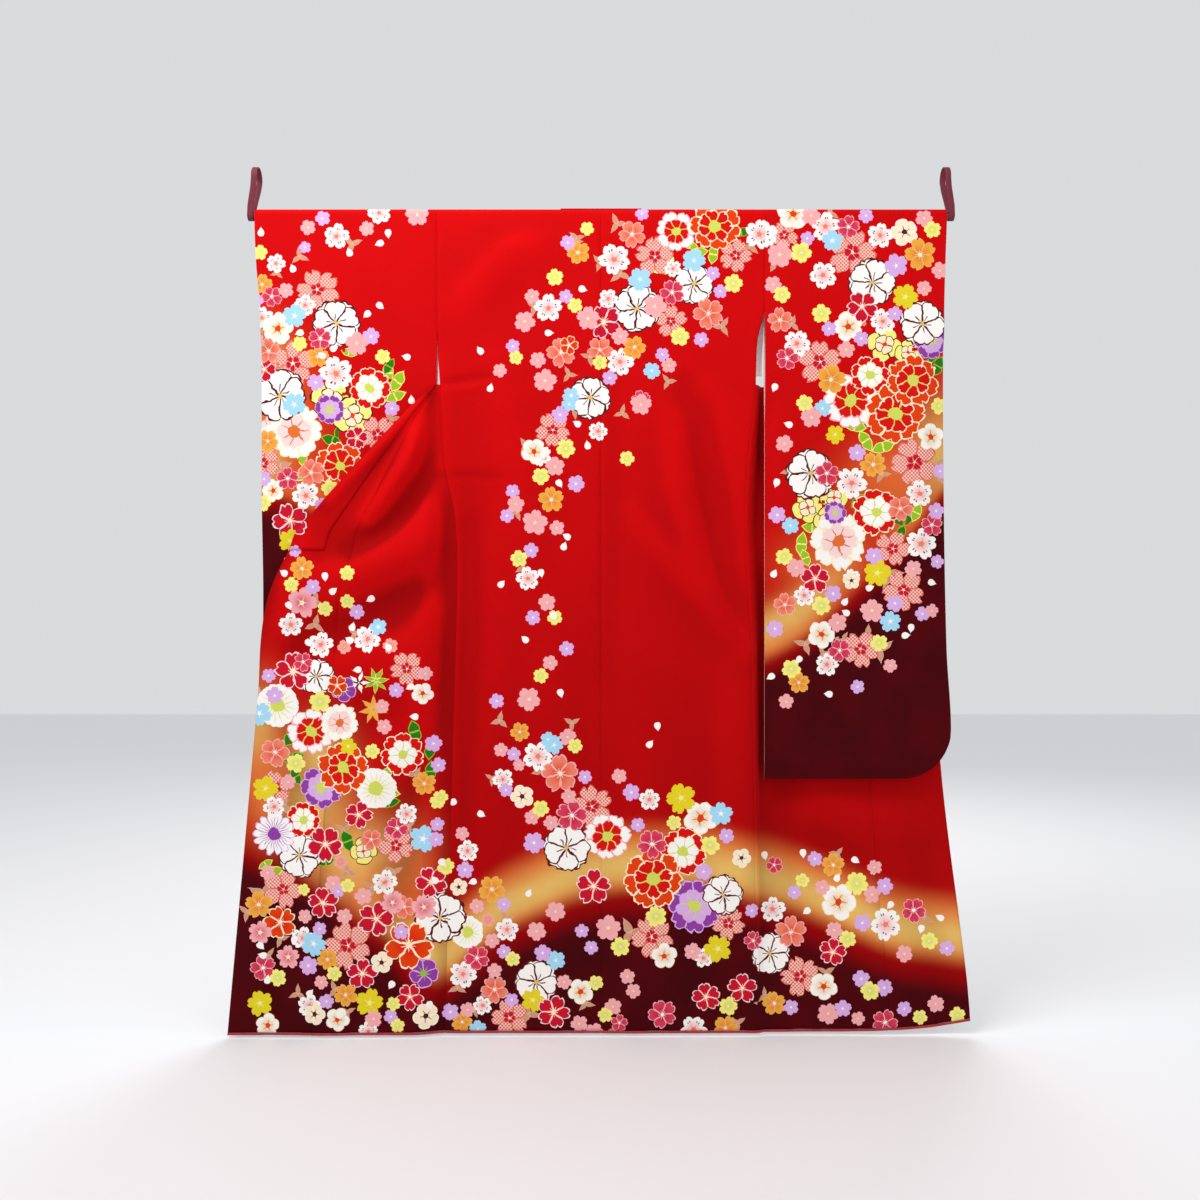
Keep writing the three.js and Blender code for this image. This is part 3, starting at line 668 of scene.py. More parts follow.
rightSleeveSpots = {
    "taupe": [(394, 840, 25), (442, 8, 21), (336, 104, 23), (515, 822, 23), (365, 506, 23), (477, 394, 23)],
    "leafDark": [
        (631, 288, 23), (652, 303, 23), (583, 602, 23), (577, 629, 21), (546, 357, 21), (496, 564, 19),
    ],
    "leaf": [
        (490, 419, 25), (511, 448, 25), (544, 461, 25), (386, 647, 25), (407, 616, 23), (394, 674, 19),
        (608, 587, 21),
    ],
    "cloud": [(546, 262, 35), (593, 278, 27), (398, 577, 31), (450, 558, 29), (434, 602, 27)],
    "mesh": [
        (484, 85, 48), (421, 297, 44), (604, 490, 48), (562, 656, 35), (583, 737, 41), (502, 851, 37),
        (353, 52, 29),
    ],
    "double": [(523, 143, 46), (620, 222, 44), (403, 513, 48)],
    "peony": [(531, 585, 46), (519, 322, 39)],
    "peonyOrange": [(567, 396, 58), (602, 332, 52)],
    "peonyWhite": [(482, 371, 54)],
    "peonyCream": [(459, 641, 56)],
    "peonyPurple": [(637, 255, 35), (452, 587, 23)],
    "white": [
        (434, 35, 29), (317, 50, 25), (428, 129, 27), (538, 52, 25), (544, 218, 25), (378, 261, 27),
        (484, 529, 31), (614, 550, 27), (618, 647, 31), (392, 747, 21), (436, 880, 23), (484, 712, 17),
    ],
    "whiteOrange": [(371, 10, 31), (477, 228, 29), (637, 440, 27), (425, 822, 27)],
    "creamPlum": [(585, 46, 27), (484, 718, 17)],
    "gold": [(616, 89, 31), (444, 330, 29), (525, 494, 25), (382, 915, 21)],
    "yellow": [(587, 170, 25), (452, 436, 19), (533, 703, 27)],
    "red": [(504, 189, 31), (413, 714, 29)],
    "rose": [(477, 35, 23), (359, 290, 23), (436, 511, 25), (639, 610, 23), (461, 853, 23)],
    "salmon": [(577, 579, 25), (355, 764, 23), (345, 216, 25)],
    "blue": [(446, 62, 21), (558, 797, 21)],
    "sky": [(427, 386, 17), (365, 612, 17)],
    "lilac": [
        (511, 14, 15), (398, 58, 14), (569, 110, 23), (567, 203, 15), (502, 251, 15), (440, 232, 15),
        (494, 471, 17), (656, 506, 15), (340, 591, 17), (648, 583, 17), (527, 670, 17), (650, 681, 14),
        (567, 762, 17), (620, 782, 15), (448, 743, 17), (336, 811, 17), (496, 923, 14),
    ],
    "pink": [
        (405, 14, 19), (345, 89, 25), (623, 19, 17), (623, 154, 15), (332, 147, 17), (473, 272, 17),
        (405, 403, 21), (353, 454, 17), (376, 693, 19), (602, 695, 17), (639, 776, 14), (457, 799, 19),
        (558, 882, 14), (357, 951, 15), (523, 776, 23), (654, 120, 17),
    ],
    "lemon": [
        (386, 85, 21), (639, 41, 17), (425, 203, 19), (349, 166, 17), (392, 376, 17), (353, 672, 17),
        (425, 766, 19), (537, 838, 17), (367, 888, 19), (654, 380, 17),
    ],
    "petal": [
        (332, 708), (332, 901), (384, 867), (469, 762), (477, 782), (515, 733), (635, 720), (598, 805),
        (583, 824), (444, 938), (336, 342), (365, 419), (340, 525),
    ],
}
bodySpots = {
    "taupe": [
        (31, 29, 23), (234, 228, 23), (-48, 58, 19), (-2, 104, 21), (129, 334, 19), (-62, 320, 19),
        (-52, 386, 23), (-96, 425, 23), (-162, 587, 19), (41, 394, 19), (-145, 459, 21), (-195, 988, 21),
        (-56, 992, 19),
    ],
    "leaf": [(187, 85, 21), (216, 89, 21), (172, 71, 17)],
    "leafDark": [(270, 46, 19), (122, 62, 19)],
    "cloud": [(118, 104, 27)],
    "mesh": [
        (104, 93, 39), (259, 91, 33), (135, 218, 31), (-17, 1152, 41), (245, 1376, 33), (98, 1403, 42),
        (-176, 1559, 37), (386, 1484, 39), (-93, 427, 35),
    ],
    "double": [
        (179, 147, 39), (69, 193, 46), (-66, 1231, 46), (234, 1322, 39), (-309, 1366, 48), (-124, 1490, 42),
        (328, 1440, 39), (-21, 365, 41),
    ],
    "peony": [(158, 1239, 46)],
    "peonyOrange": [(220, 33, 50), (100, 1291, 58)],
    "peonyWhite": [(145, 44, 39), (12, 1210, 46)],
    "peonyPurple": [(179, 1345, 52)],
    "creamPlum": [(-152, 1133, 23), (-274, 1309, 17), (270, 1251, 19)],
    "lime": [(-257, 1395, 31)],
    "white": [
        (25, 98, 31), (305, 50, 29), (37, 295, 27), (14, 174, 19), (-102, 193, 27), (139, 116, 17),
        (-122, 1056, 29), (-257, 1239, 21), (93, 1139, 21), (-181, 1390, 23), (-266, 1476, 27),
        (197, 1444, 19), (334, 1357, 25), (552, 1384, 31), (-228, 1536, 19), (-141, 714, 23),
        (-189, 1100, 21), (-6, 430, 19), (-116, 477, 21),
    ],
    "whiteOrange": [
        (191, 1175, 33), (-39, 1509, 25), (122, 1440, 25), (461, 1341, 35), (430, 1502, 27), (-129, 469, 25),
    ],
    "gold": [
        (64, 268, 23), (-44, 85, 23), (-156, 1009, 19), (-210, 1312, 27), (334, 1534, 23), (452, 1272, 23),
        (-268, 1567, 21), (-96, 562, 25),
    ],
    "yellow": [(154, 1137, 29), (-131, 1525, 23), (224, 1426, 27)],
    "red": [(6, 218, 33), (-15, 1307, 35), (-91, 1548, 33), (448, 1436, 27)],
    "rose": [
        (137, 162, 25), (77, 369, 19), (-56, 1170, 31), (-239, 1444, 25), (293, 1411, 19), (338, 1272, 17),
        (35, 1569, 17), (608, 1359, 25), (98, 1224, 29),
    ],
    "salmon": [
        (60, 50, 27), (207, 203, 31), (-79, 1089, 37), (-205, 1505, 27), (369, 1399, 31), (-2, 272, 25),
        (-77, 278, 29),
    ],
    "orange": [(-62, 264, 19)],
    "blue": [(230, 1166, 23), (-91, 1034, 19), (-58, 361, 17)],
    "sky": [
        (179, 100, 23), (75, 137, 23), (98, 313, 17), (-87, 1448, 19), (-237, 1581, 17), (-62, 378, 15),
        (-102, 1023, 15),
    ],
    "lilac": [
        (79, 10, 14), (216, 125, 14), (230, 160, 14), (193, 253, 15), (118, 282, 14), (17, 326, 15),
        (-64, 66, 15), (-68, 170, 14), (-170, 266, 14), (-168, 1052, 14), (-31, 1096, 14), (-183, 1121, 14),
        (-129, 1222, 21), (58, 1125, 17), (-313, 1073, 15), (-315, 1187, 14), (-262, 1276, 17),
        (241, 1208, 15), (197, 1278, 17), (290, 1353, 14), (-187, 1341, 14), (-187, 1432, 14),
        (-112, 1434, 17), (-37, 1392, 14), (-19, 1424, 14), (-172, 1525, 14), (-290, 1548, 17),
        (417, 1260, 15), (376, 1324, 14), (552, 1312, 17), (506, 1380, 17), (670, 1430, 15), (502, 1486, 17),
        (546, 1503, 17), (367, 1542, 15), (467, 1544, 17), (585, 1544, 15), (-79, 398, 17), (-48, 531, 17),
        (-170, 546, 14), (-181, 593, 14), (-135, 660, 15), (-131, 789, 15), (-66, 849, 15), (-201, 950, 15),
    ],
    "pink": [
        (104, 189, 23), (37, 247, 17), (131, 303, 15), (-133, 170, 15), (-25, 212, 23), (-147, 218, 21),
        (-195, 313, 14), (-64, 1019, 17), (-193, 1044, 14), (-158, 1073, 12), (-133, 1173, 15),
        (-96, 1183, 15), (-62, 1133, 15), (35, 1094, 15), (-268, 1206, 14), (-239, 1345, 15),
        (-124, 1392, 19), (-210, 1411, 15), (-205, 1469, 15), (-71, 1490, 15), (-257, 1544, 15),
        (-42, 1571, 17), (23, 1538, 17), (62, 1507, 15), (14, 1386, 25), (176, 1432, 17), (533, 1276, 15),
        (430, 1314, 15), (527, 1328, 17), (452, 1395, 17), (587, 1440, 17), (438, 1554, 21), (496, 1563, 14),
        (647, 1536, 17), (-108, 332, 23), (-89, 498, 19), (-164, 571, 17), (-127, 606, 25), (-85, 616, 15),
        (-104, 760, 17), (-98, 876, 15), (-139, 946, 23), (77, 378, 21),
    ],
    "lemon": [
        (255, 145, 19), (152, 247, 19), (-27, 39, 14), (-89, 133, 17), (-50, 187, 15), (-164, 288, 14),
        (-2, 297, 15), (-50, 1036, 15), (-116, 1156, 17), (-309, 1135, 15), (-299, 1268, 17), (210, 1227, 19),
        (106, 1363, 21), (-170, 1446, 15), (-10, 1492, 15), (37, 1422, 19), (8, 1554, 15), (392, 1301, 14),
        (498, 1307, 23), (477, 1411, 17), (637, 1417, 17), (519, 1509, 19), (616, 1561, 15), (-68, 463, 19),
        (-116, 517, 17), (50, 482, 15), (-158, 676, 17), (-89, 789, 15), (-116, 901, 15),
    ],
    "petal": [
        (318, 1249), (394, 1245), (492, 1260), (457, 1299), (565, 1345), (623, 1390), (662, 1374), (403, 1357),
        (-42, 417), (-25, 461), (-83, 527), (-62, 635), (-73, 656), (-116, 699), (-93, 782), (-214, 351),
        (-230, 278), (91, 1036), (108, 994), (-195, 728), (-143, 834), (-79, 930), (-235, 1166), (-282, 1143),
        (-243, 1297),
    ],
}
leftFrontSpots = {
    "taupe": [
        (-546, 758, 23), (-548, 803, 23), (-484, 1274, 21), (-492, 1193, 19), (-581, 1509, 21),
        (-398, 1278, 21), (-345, 1448, 21), (-616, 1405, 21), (-508, 1500, 21),
    ],
    "leafDark": [
        (-484, 1216, 25), (-527, 1254, 21), (-357, 1007, 25), (-328, 1042, 23), (-594, 1017, 25),
        (-589, 1058, 23), (-585, 1094, 19), (-328, 1085, 23), (-407, 1143, 23),
    ],
    "leaf": [(-616, 1280, 23), (-558, 1146, 21), (-407, 1123, 25), (-411, 1089, 21), (-643, 1262, 17)],
    "maple": [(-430, 909, 27)],
    "mapleOrange": [(-436, 965, 29)],
    "cloud": [(-454, 1235, 27)],
    "mesh": [(-371, 886, 33), (-394, 1227, 35), (-610, 1310, 39), (-484, 1415, 46), (-625, 1116, 35)],
    "double": [(-577, 1245, 42), (-544, 901, 35)],
    "peony": [(-380, 1050, 42), (-571, 1177, 35)],
    "peonyOrange": [(-494, 1077, 50)],
    "peonyWhite": [(-556, 1007, 46)],
    "peonyPurple": [(-535, 1114, 42)],
    "peonyCream": [(-500, 990, 37)],
    "daisy": [(-627, 1204, 41)],
    "lime": [(-620, 957, 41), (-430, 1116, 39)],
    "lens": [(-463, 913, 27)],
    "red": [
        (-598, 604, 37), (-367, 1517, 27), (-457, 1471, 31), (-432, 1366, 35), (-326, 1297, 31),
        (-463, 1166, 27), (-531, 1334, 31), (-589, 892, 37), (-527, 1222, 35),
    ],
    "rose": [(-571, 874, 19), (-392, 1193, 23), (-648, 1461, 25)],
    "coral": [(-492, 845, 14), (-403, 843, 15)],
    "plum": [(-492, 926, 25), (-340, 1471, 29)],
    "orange": [(-616, 1374, 33), (-369, 1417, 48), (-504, 919, 21)],
    "salmon": [(-440, 1214, 21), (-378, 1345, 23)],
    "pink": [
        (-567, 1361, 14), (-535, 1486, 14), (-436, 1558, 17), (-336, 896, 14), (-415, 998, 15),
        (-639, 1278, 15), (-511, 1297, 17), (-455, 1322, 17), (-600, 1104, 15), (-419, 959, 14),
    ],
    "pinkSakura": [(-571, 760, 29), (-600, 1440, 23), (-400, 1336, 23), (-654, 1393, 23), (-340, 1345, 25)],
    "yellow": [(-643, 1117, 25), (-444, 1527, 27), (-654, 1529, 25), (-484, 1036, 17)],
    "gold": [(-571, 695, 23), (-656, 1339, 27), (-488, 1511, 23), (-340, 1108, 23), (-523, 1442, 21)],
    "white": [
        (-594, 803, 23), (-538, 841, 25), (-448, 830, 27), (-446, 1581, 19), (-374, 1166, 21),
        (-627, 1152, 21), (-415, 1297, 25), (-558, 1532, 23), (-571, 1403, 23),
    ],
    "whiteOrange": [(-342, 934, 21), (-504, 1558, 23), (-639, 1571, 23)],
    "creamPlum": [(-548, 1548, 21), (-336, 1554, 25), (-421, 1451, 21)],
    "blue": [(-428, 807, 17), (-342, 1214, 27), (-550, 1413, 25), (-654, 973, 23)],
    "lilac": [
        (-585, 662, 12), (-550, 730, 15), (-469, 778, 15), (-538, 1384, 14), (-560, 1455, 19),
        (-502, 1312, 12), (-525, 1523, 15), (-403, 1554, 14), (-625, 938, 17), (-392, 928, 15),
        (-322, 1031, 17), (-317, 1216, 15), (-384, 1393, 15),
    ],
    "lemon": [
        (-591, 726, 15), (-529, 772, 15), (-569, 1310, 12), (-484, 1301, 14), (-510, 1469, 15),
        (-398, 1530, 14), (-390, 1571, 14), (-484, 704, 15), (-486, 758, 14), (-315, 1143, 15),
        (-538, 950, 21), (-620, 1480, 17),
    ],
    "petal": [
        (-656, 1415), (-645, 1438), (-587, 1403), (-641, 1488), (-560, 1511), (-498, 1552), (-400, 1490),
        (-602, 706), (-527, 706), (-515, 741), (-598, 762), (-479, 811), (-479, 834), (-438, 751), (-564, 834),
        (-405, 849), (-461, 888), (-361, 919), (-332, 930), (-353, 979), (-309, 1258), (-317, 1297),
        (-330, 1529),
    ],
}


drawing = {
    "underSize": 1.04, "underTurn": 0.1, "petalSize": 1.2, "petalRadius": 13, "twigSize": 0.8, "leafy": 0.34,
}


class Design:
    # The motifs of one part of the garment; those drawn later lie over the others.
    def __init__(self, seed):
        self.dice = random.Random(seed)
        self.motifs = []

    def blossom(self, kind, x, level, radius=drawing["petalRadius"], turn=None):
        height, form, *parts = looks[kind]
        turn = self.dice.random() if turn is None else turn
        if kind == "double":
            self.blossom("doubleUnder", x, level, radius * drawing["underSize"], turn + drawing["underTurn"])
        if kind == "petal":
            radius *= drawing["petalSize"]
        if kind in leafyKinds and self.dice.random() < drawing["leafy"]:
            lean = self.dice.uniform(0, 2 * math.pi)
            twigX, twigLevel = x + radius * math.cos(lean), level + radius * math.sin(lean)
            self.blossom("taupe", twigX, twigLevel, radius * drawing["twigSize"])
        self.motifs.append((height, kind, form, x, level, radius, parts, turn))

    def place(self, spots):
        for kind, rows in spots.items():
            for row in rows:
                self.blossom(kind, *row)

    def fill(self, path, count, kinds, spacing):
        # Strews kinds of name, weight, least and most radius along a path of x, level, half width.
        lengths = [math.hypot(b[0] - a[0], b[1] - a[1]) for a, b in zip(path, path[1:])]
        weights = [kind[1] for kind in kinds]
        for _ in range(count):
            i = self.dice.choices(range(len(lengths)), lengths)[0]
            t = self.dice.random()
            a, b = path[i], path[i + 1]
            along = (b[0] - a[0], b[1] - a[1])
            off = self.dice.uniform(-1, 1) * mix(a[2], b[2], t) / max(1, math.hypot(*along))
            x = mix(a[0], b[0], t) - along[1] * off
            level = mix(a[1], b[1], t) + along[0] * off
            name, _, least, most = self.dice.choices(kinds, weights)[0]
            radius = self.dice.uniform(least, most)
            others = [motif for motif in self.motifs if motif[0]]
            if all(math.hypot(x - m[3], level - m[4]) > (radius + m[5]) * spacing for m in others):
                self.blossom(name, x, level, radius)

    def drawn(self):
        return sorted(self.motifs, key=lambda motif: motif[0])


# Motifs to strew, by size: how far apart, how much wider than the path,
# then name, weight, least and most radius
strewn = {
    "large": (0.8, 1, [
        ("mesh", 3, 36, 44), ("double", 3, 40, 46), ("peony", 1.5, 42, 48), ("peonyOrange", 1.5, 46, 54),
        ("peonyWhite", 1, 42, 50), ("cloud", 0.8, 32, 40), ("peonyPurple", 0.6, 36, 44),
    ]),
    "middle": (0.85, 1, [
        ("white", 4, 22, 29), ("rose", 1.5, 23, 29), ("gold", 1.5, 22, 28), ("yellow", 1, 22, 28),
        ("whiteOrange", 1.5, 24, 30), ("red", 1.5, 27, 33), ("salmon", 1.5, 25, 31), ("blue", 0.7, 20, 25),
    ]),
    "small": (0.9, 1, [
        ("pink", 3, 14, 20), ("lilac", 3, 13, 18), ("lemon", 3, 14, 20), ("sky", 1, 17, 21),
        ("coral", 1, 13, 18),
    ]),
    "petals": (1.1, 1.3, [("petal", 1, 12, 14)]),
}
# Each design: its seed, the spots placed in it, and its paths with how many to strew, large ones first
designRows = {
    "near": (11, (leftSleeveSpots, rightSleeveSpots, bodySpots), [
        ([(-655, 150, 20), (-640, 330, 40), (-610, 560, 40)], (0, 20, 40, 10)),
        ([(-600, 640, 60), (-480, 700, 80)], (4, 10, 20, 10)),
        ([(600, 60, 80), (600, 300, 80), (560, 620, 90), (400, 800, 70)], (0, 20, 60, 20)),
        ([(80, 60, 80), (20, 190, 80), (-90, 330, 60)], (0, 4, 20, 10)),
        ([(-80, 1180, 70), (180, 1260, 80), (240, 1380, 60)], (0, 10, 30, 10)),
        ([(-290, 1440, 50), (-100, 1560, 40), (120, 1560, 30), (280, 1540, 40)], (4, 20, 60, 24)),
        ([(-260, 1350, 40), (40, 1440, 60), (280, 1450, 50)], (0, 10, 26, 16)),
    ]),
    "left": (23, (leftFrontSpots, bodySpots), [
        ([(-640, 900, 40), (-560, 1000, 130), (-480, 1180, 170)], (2, 30, 90, 24)),
        ([(-640, 1300, 70), (-480, 1360, 110), (-360, 1480, 80)], (16, 60, 150, 40)),
    ]),
    "right": (31, (bodySpots,), [([(320, 1520, 30), (700, 1560, 30)], (0, 3, 12, 8))]),
    "far": (47, (), [
        ([(120, 40, 60), (220, 200, 60), (290, 300, 40)], (3, 16, 40, 10)),
        ([(-300, 900, 60), (-420, 1200, 90), (-640, 1400, 60)], (10, 40, 90, 20)),
        ([(300, 1200, 60), (420, 1300, 90), (640, 1450, 60)], (10, 40, 90, 20)),
    ]),
}


def paintDesign(seed, placed, paths):
    design = Design(seed)
    for spots in placed:
        design.place(spots)
    for path, counts in paths:
        for count, (spacing, wider, kinds) in zip(counts, strewn.values()):
            design.fill([(x, level, width * wider) for x, level, width in path], count, kinds, spacing)
    return design


designs = {name: paintDesign(*row) for name, row in designRows.items()}
print("designs drawn")
spotSlots = 4  # motifs that a face can show over each other


def tableOfSpots(centres, half, motifs):
    # For each face the topmost few motifs that reach it.
    count = len(centres)
    used = np.zeros(count, int)
    names = ("place", "form", "petal", "edge", "heart", "inner")
    spots = {f"{name}{slot}": np.zeros((count, 4), np.float32) for name in names for slot in range(spotSlots)}
    for _, kind, form, x, level, radius, parts, turn in reversed(motifs):
        petal, edge, heart, inner = parts
        shape = motifForms[form]
        z = shoulderZ - level
        reached = np.hypot(centres[:, 0] - x, centres[:, 1] - z) < radius + half
        faces = np.nonzero(reached & (used < spotSlots))[0]
        if not len(faces):
            continue
        values = {  # three numbers a face and one more in the alpha
            "place": (x / 1000, z / 1000, 1000 / radius, turn),
            "form": shape[:4],
            "petal": (*linear[petal], petalMarks.get(kind, 0.0)),
            "edge": (*linear[edge], shape[4]),
            "heart": (*linear[heart], shape[5]),
            "inner": (*linear[inner], shape[6]),
        }
        for slot in range(spotSlots):
            here = faces[used[faces] == slot]
            for name, value in values.items():
                spots[f"{name}{slot}"][here] = value
        used[faces] += 1
    return spots


# Ground colours: middle of the golden haze over the hem, and where the dark lower part of a sleeve begins
hazeLine = [
    (-690, 1165), (-600, 1205), (-520, 1250), (-420, 1350), (-350, 1420), (-311, 1442), (-253, 1397),
    (-195, 1351), (-118, 1312), (-41, 1282), (75, 1262), (191, 1262), (307, 1291), (384, 1316), (461, 1345),
    (577, 1390), (720, 1412),
]
darkLines = {
    -1: [(-680, 585), (-629, 583), (-581, 602), (-523, 650), (-440, 760), (-316, 900)],
    1: [(310, 905), (384, 863), (442, 818), (500, 762), (548, 708), (596, 660), (664, 573), (690, 550)],
}
# Glows: x, level, half width, half height, tone
glows = {
    -1: [
        (-655, 295, 45, 60, "gold"), (-625, 420, 75, 110, "amber"), (-650, 480, 40, 60, "gold"),
        (-560, 560, 60, 45, "amber"),
    ],
    1: [
        (555, 520, 80, 70, "amber"), (650, 470, 45, 90, "gold"), (440, 690, 80, 60, "amber"),
        (600, 600, 60, 50, "amber"),
    ],
}
frontGlows = [
    (-660, 1010, 40, 80, "gold"), (-650, 1110, 40, 90, "amber"), (-560, 1150, 60, 60, "gold"),
    (-460, 1250, 90, 70, "gold"), (-400, 1320, 60, 60, "amber"), (-540, 1060, 50, 60, "gold"),
]
# Levels from the line: amber and the darker tones come in over these, gold has a middle and a spread
hemHaze = {"amber": (-95, -35), "gold": (0, 38), "goldShare": 0.95, "deepRed": (22, 68), "maroon": (62, 122)}
sleeveHaze = {
    "amber": (-150, -80), "gold": (-88, 38), "goldShare": 0.85, "deepRed": (-50, -14), "maroon": (-20, 20),
}
# Dye of the ground, and painted shade: the red darkening towards the hem for light that falls off lower down,
# and the shade in the troughs and light on the ridges of the folds.
dyeAndPaintedShade = {
    "glowShare": 0.85, "paintedDarkeningTo": 0.75, "paintedDarkestLevel": 1700, "noHazeLeft": (400, 500),
    "noGlowBelow": (50, 90), "sleeveHazeIn": (520, 370), "troughReach": 60, "troughDepth": 2.5,
    "troughPaintedShade": 0.12, "drawnOutPaintedShade": 0.3, "ridgePaintedLight": -0.6, "liningDark": 1.6, "liningDarkens": (960, 990),
}


def blend(colour, tone, share):
    return mix(colour, np.array(linear[tone]), np.clip(share, 0, 1)[..., None])


def glowOver(colour, x, level, spots, keep=1):
    for glowX, glowLevel, wide, tall, tone in spots:
        spread = ((x - glowX) / wide) ** 2 + ((level - glowLevel) / tall) ** 2
        colour = blend(colour, tone, np.exp(-spread) * dyeAndPaintedShade["glowShare"] * keep)
    return colour


def hazeOver(colour, away, haze, strength):
    middle, spread = haze["gold"]
    colour = blend(colour, "amber", ramp(away, *haze["amber"]) * dyeAndPaintedShade["glowShare"] * strength)
    colour = blend(colour, "gold", np.exp(-(((away - middle) / spread) ** 2)) * haze["goldShare"] * strength)
    for tone in ("deepRed", "maroon"):
        colour = blend(colour, tone, ramp(away, *haze[tone]))
    return colour


def groundColour(x, level, part):
    colour = np.array(linear["red"]) + np.zeros((*x.shape, 3))
    # Painted shade: the red darkens towards the hem, for light that falls off lower down.
    colour = blend(colour, "deepRed", ramp(level, 0, dyeAndPaintedShade["paintedDarkestLevel"]) * dyeAndPaintedShade["paintedDarkeningTo"])
    if part in ("back", "fan"):
        away = level - readTable(hazeLine, x)
        colour = hazeOver(colour, away, hemHaze, 1 - ramp(-x, *dyeAndPaintedShade["noHazeLeft"]))
    if part == "fan":
        colour = glowOver(colour, x, level, frontGlows, 1 - ramp(away, *dyeAndPaintedShade["noGlowBelow"]))
    if part == "sleeve":
        side = 1 if x.mean() > 0 else -1
        colour = glowOver(colour, x, level, glows[side])
        strength = ramp(x, *dyeAndPaintedShade["sleeveHazeIn"]) if side > 0 else 0
        colour = hazeOver(colour, level - readTable(darkLines[side], x), sleeveHaze, strength)
    return colour


def paintedTroughShade(grid, part):
    # Painted shade in the troughs and painted light on the ridges: how far each point lies behind the mean of
    # its surroundings.
    depth = grid[..., 1]
    around = depth.copy()
    for _ in range(dyeAndPaintedShade["troughReach"]):
        padded = np.pad(around, 1, mode="edge")
        around = (padded[:-2, 1:-1] + padded[2:, 1:-1] + padded[1:-1, :-2] + padded[1:-1, 2:]) / 4
    behind = np.clip((depth - around) / dyeAndPaintedShade["troughDepth"], dyeAndPaintedShade["ridgePaintedLight"], 1)
    drawnOut = part == "fan" and grid[..., 0].mean() < 0
    return 1 - dyeAndPaintedShade["drawnOutPaintedShade" if drawnOut else "troughPaintedShade"] * behind


def liningColour(x, level, part):
    colour = np.array(linear["lining"]) + np.zeros((*x.shape, 3))
    if part in ("back", "fan"):
        dark = np.array(linear["maroon"]) * dyeAndPaintedShade["liningDark"]
        colour = mix(colour, dark, ramp(level, *dyeAndPaintedShade["liningDarkens"])[..., None])
    return colour


# Cloth pieces
silk = {
    "shadeScale": 9, "shadeShare": 0.12, "shadeTone": (0.32, 0, 0.002, 1), "lattice": 900,
    "waver": 0.2, "waverScales": (55, 50), "waverGrow": 45, "mostWaver": 1.4,
    "crepe": 1400, "slub": 160, "crepeHeight": 0.0006,
    "liningScale": 14, "liningShare": 0.05, "liningShade": (0.35, 0.16, 0.17, 1), "liningCrepe": 1200,
}


def buildSilk():
    finish = Finish(
        "printedSilk", Roughness=0.78, Specular_IOR_Level=0.05, Sheen_Weight=0.008, Sheen_Roughness=0.5,
    )
    x, _, z = finish.axes()
    colour, _ = finish.stored("ground")
    shade = finish.noise(silk["shadeScale"], 3, 0.6).within(0.3, 0.75)
    colour = finish.mixed(shade * silk["shadeShare"], colour, silk["shadeTone"])
    lattice = (x * silk["lattice"]).maths("SINE") * (z * silk["lattice"]).maths("SINE")
    across, down = silk["waverScales"]
    waver = (
        (finish.noise(across, 2, 0.5) - 0.5) * silk["waver"],
        (finish.noise(down, 2, 0.5, (1, 1, 1.1)) - 0.5) * silk["waver"],
    )
    for slot in reversed(range(spotSlots)):
        colour = paintSpot(finish, slot, x, z, lattice, waver, colour)
    finish.feed("Base Color", colour)
    crepe = finish.noise(silk["crepe"], 2, 0.6, (1, 0.6, 1)) * 0.6 + finish.noise(silk["slub"], 3, 0.6) * 0.4
    finish.bump(crepe, silk["crepeHeight"], 0.5)
    return finish.material


# Lengths in a motif of radius 1, dashes and spikes by middle and half width, lines by the outline's width
strokes = {
    "notch": 5, "fade": (0.1, 0.8), "fadeShare": 0.75, "dashAcross": (0.22, 0.1), "dashAlong": (0.56, 0.07),
    "spikeWidth": 0.035, "spikeAlong": (0.28, 0.14), "between": 0.55, "innerLine": 1.3, "innerBetween": 0.4,
    "heartPoint": 1.6,
}


def near(value, middle, half):
    return (value - middle).maths("ABSOLUTE").below(half)


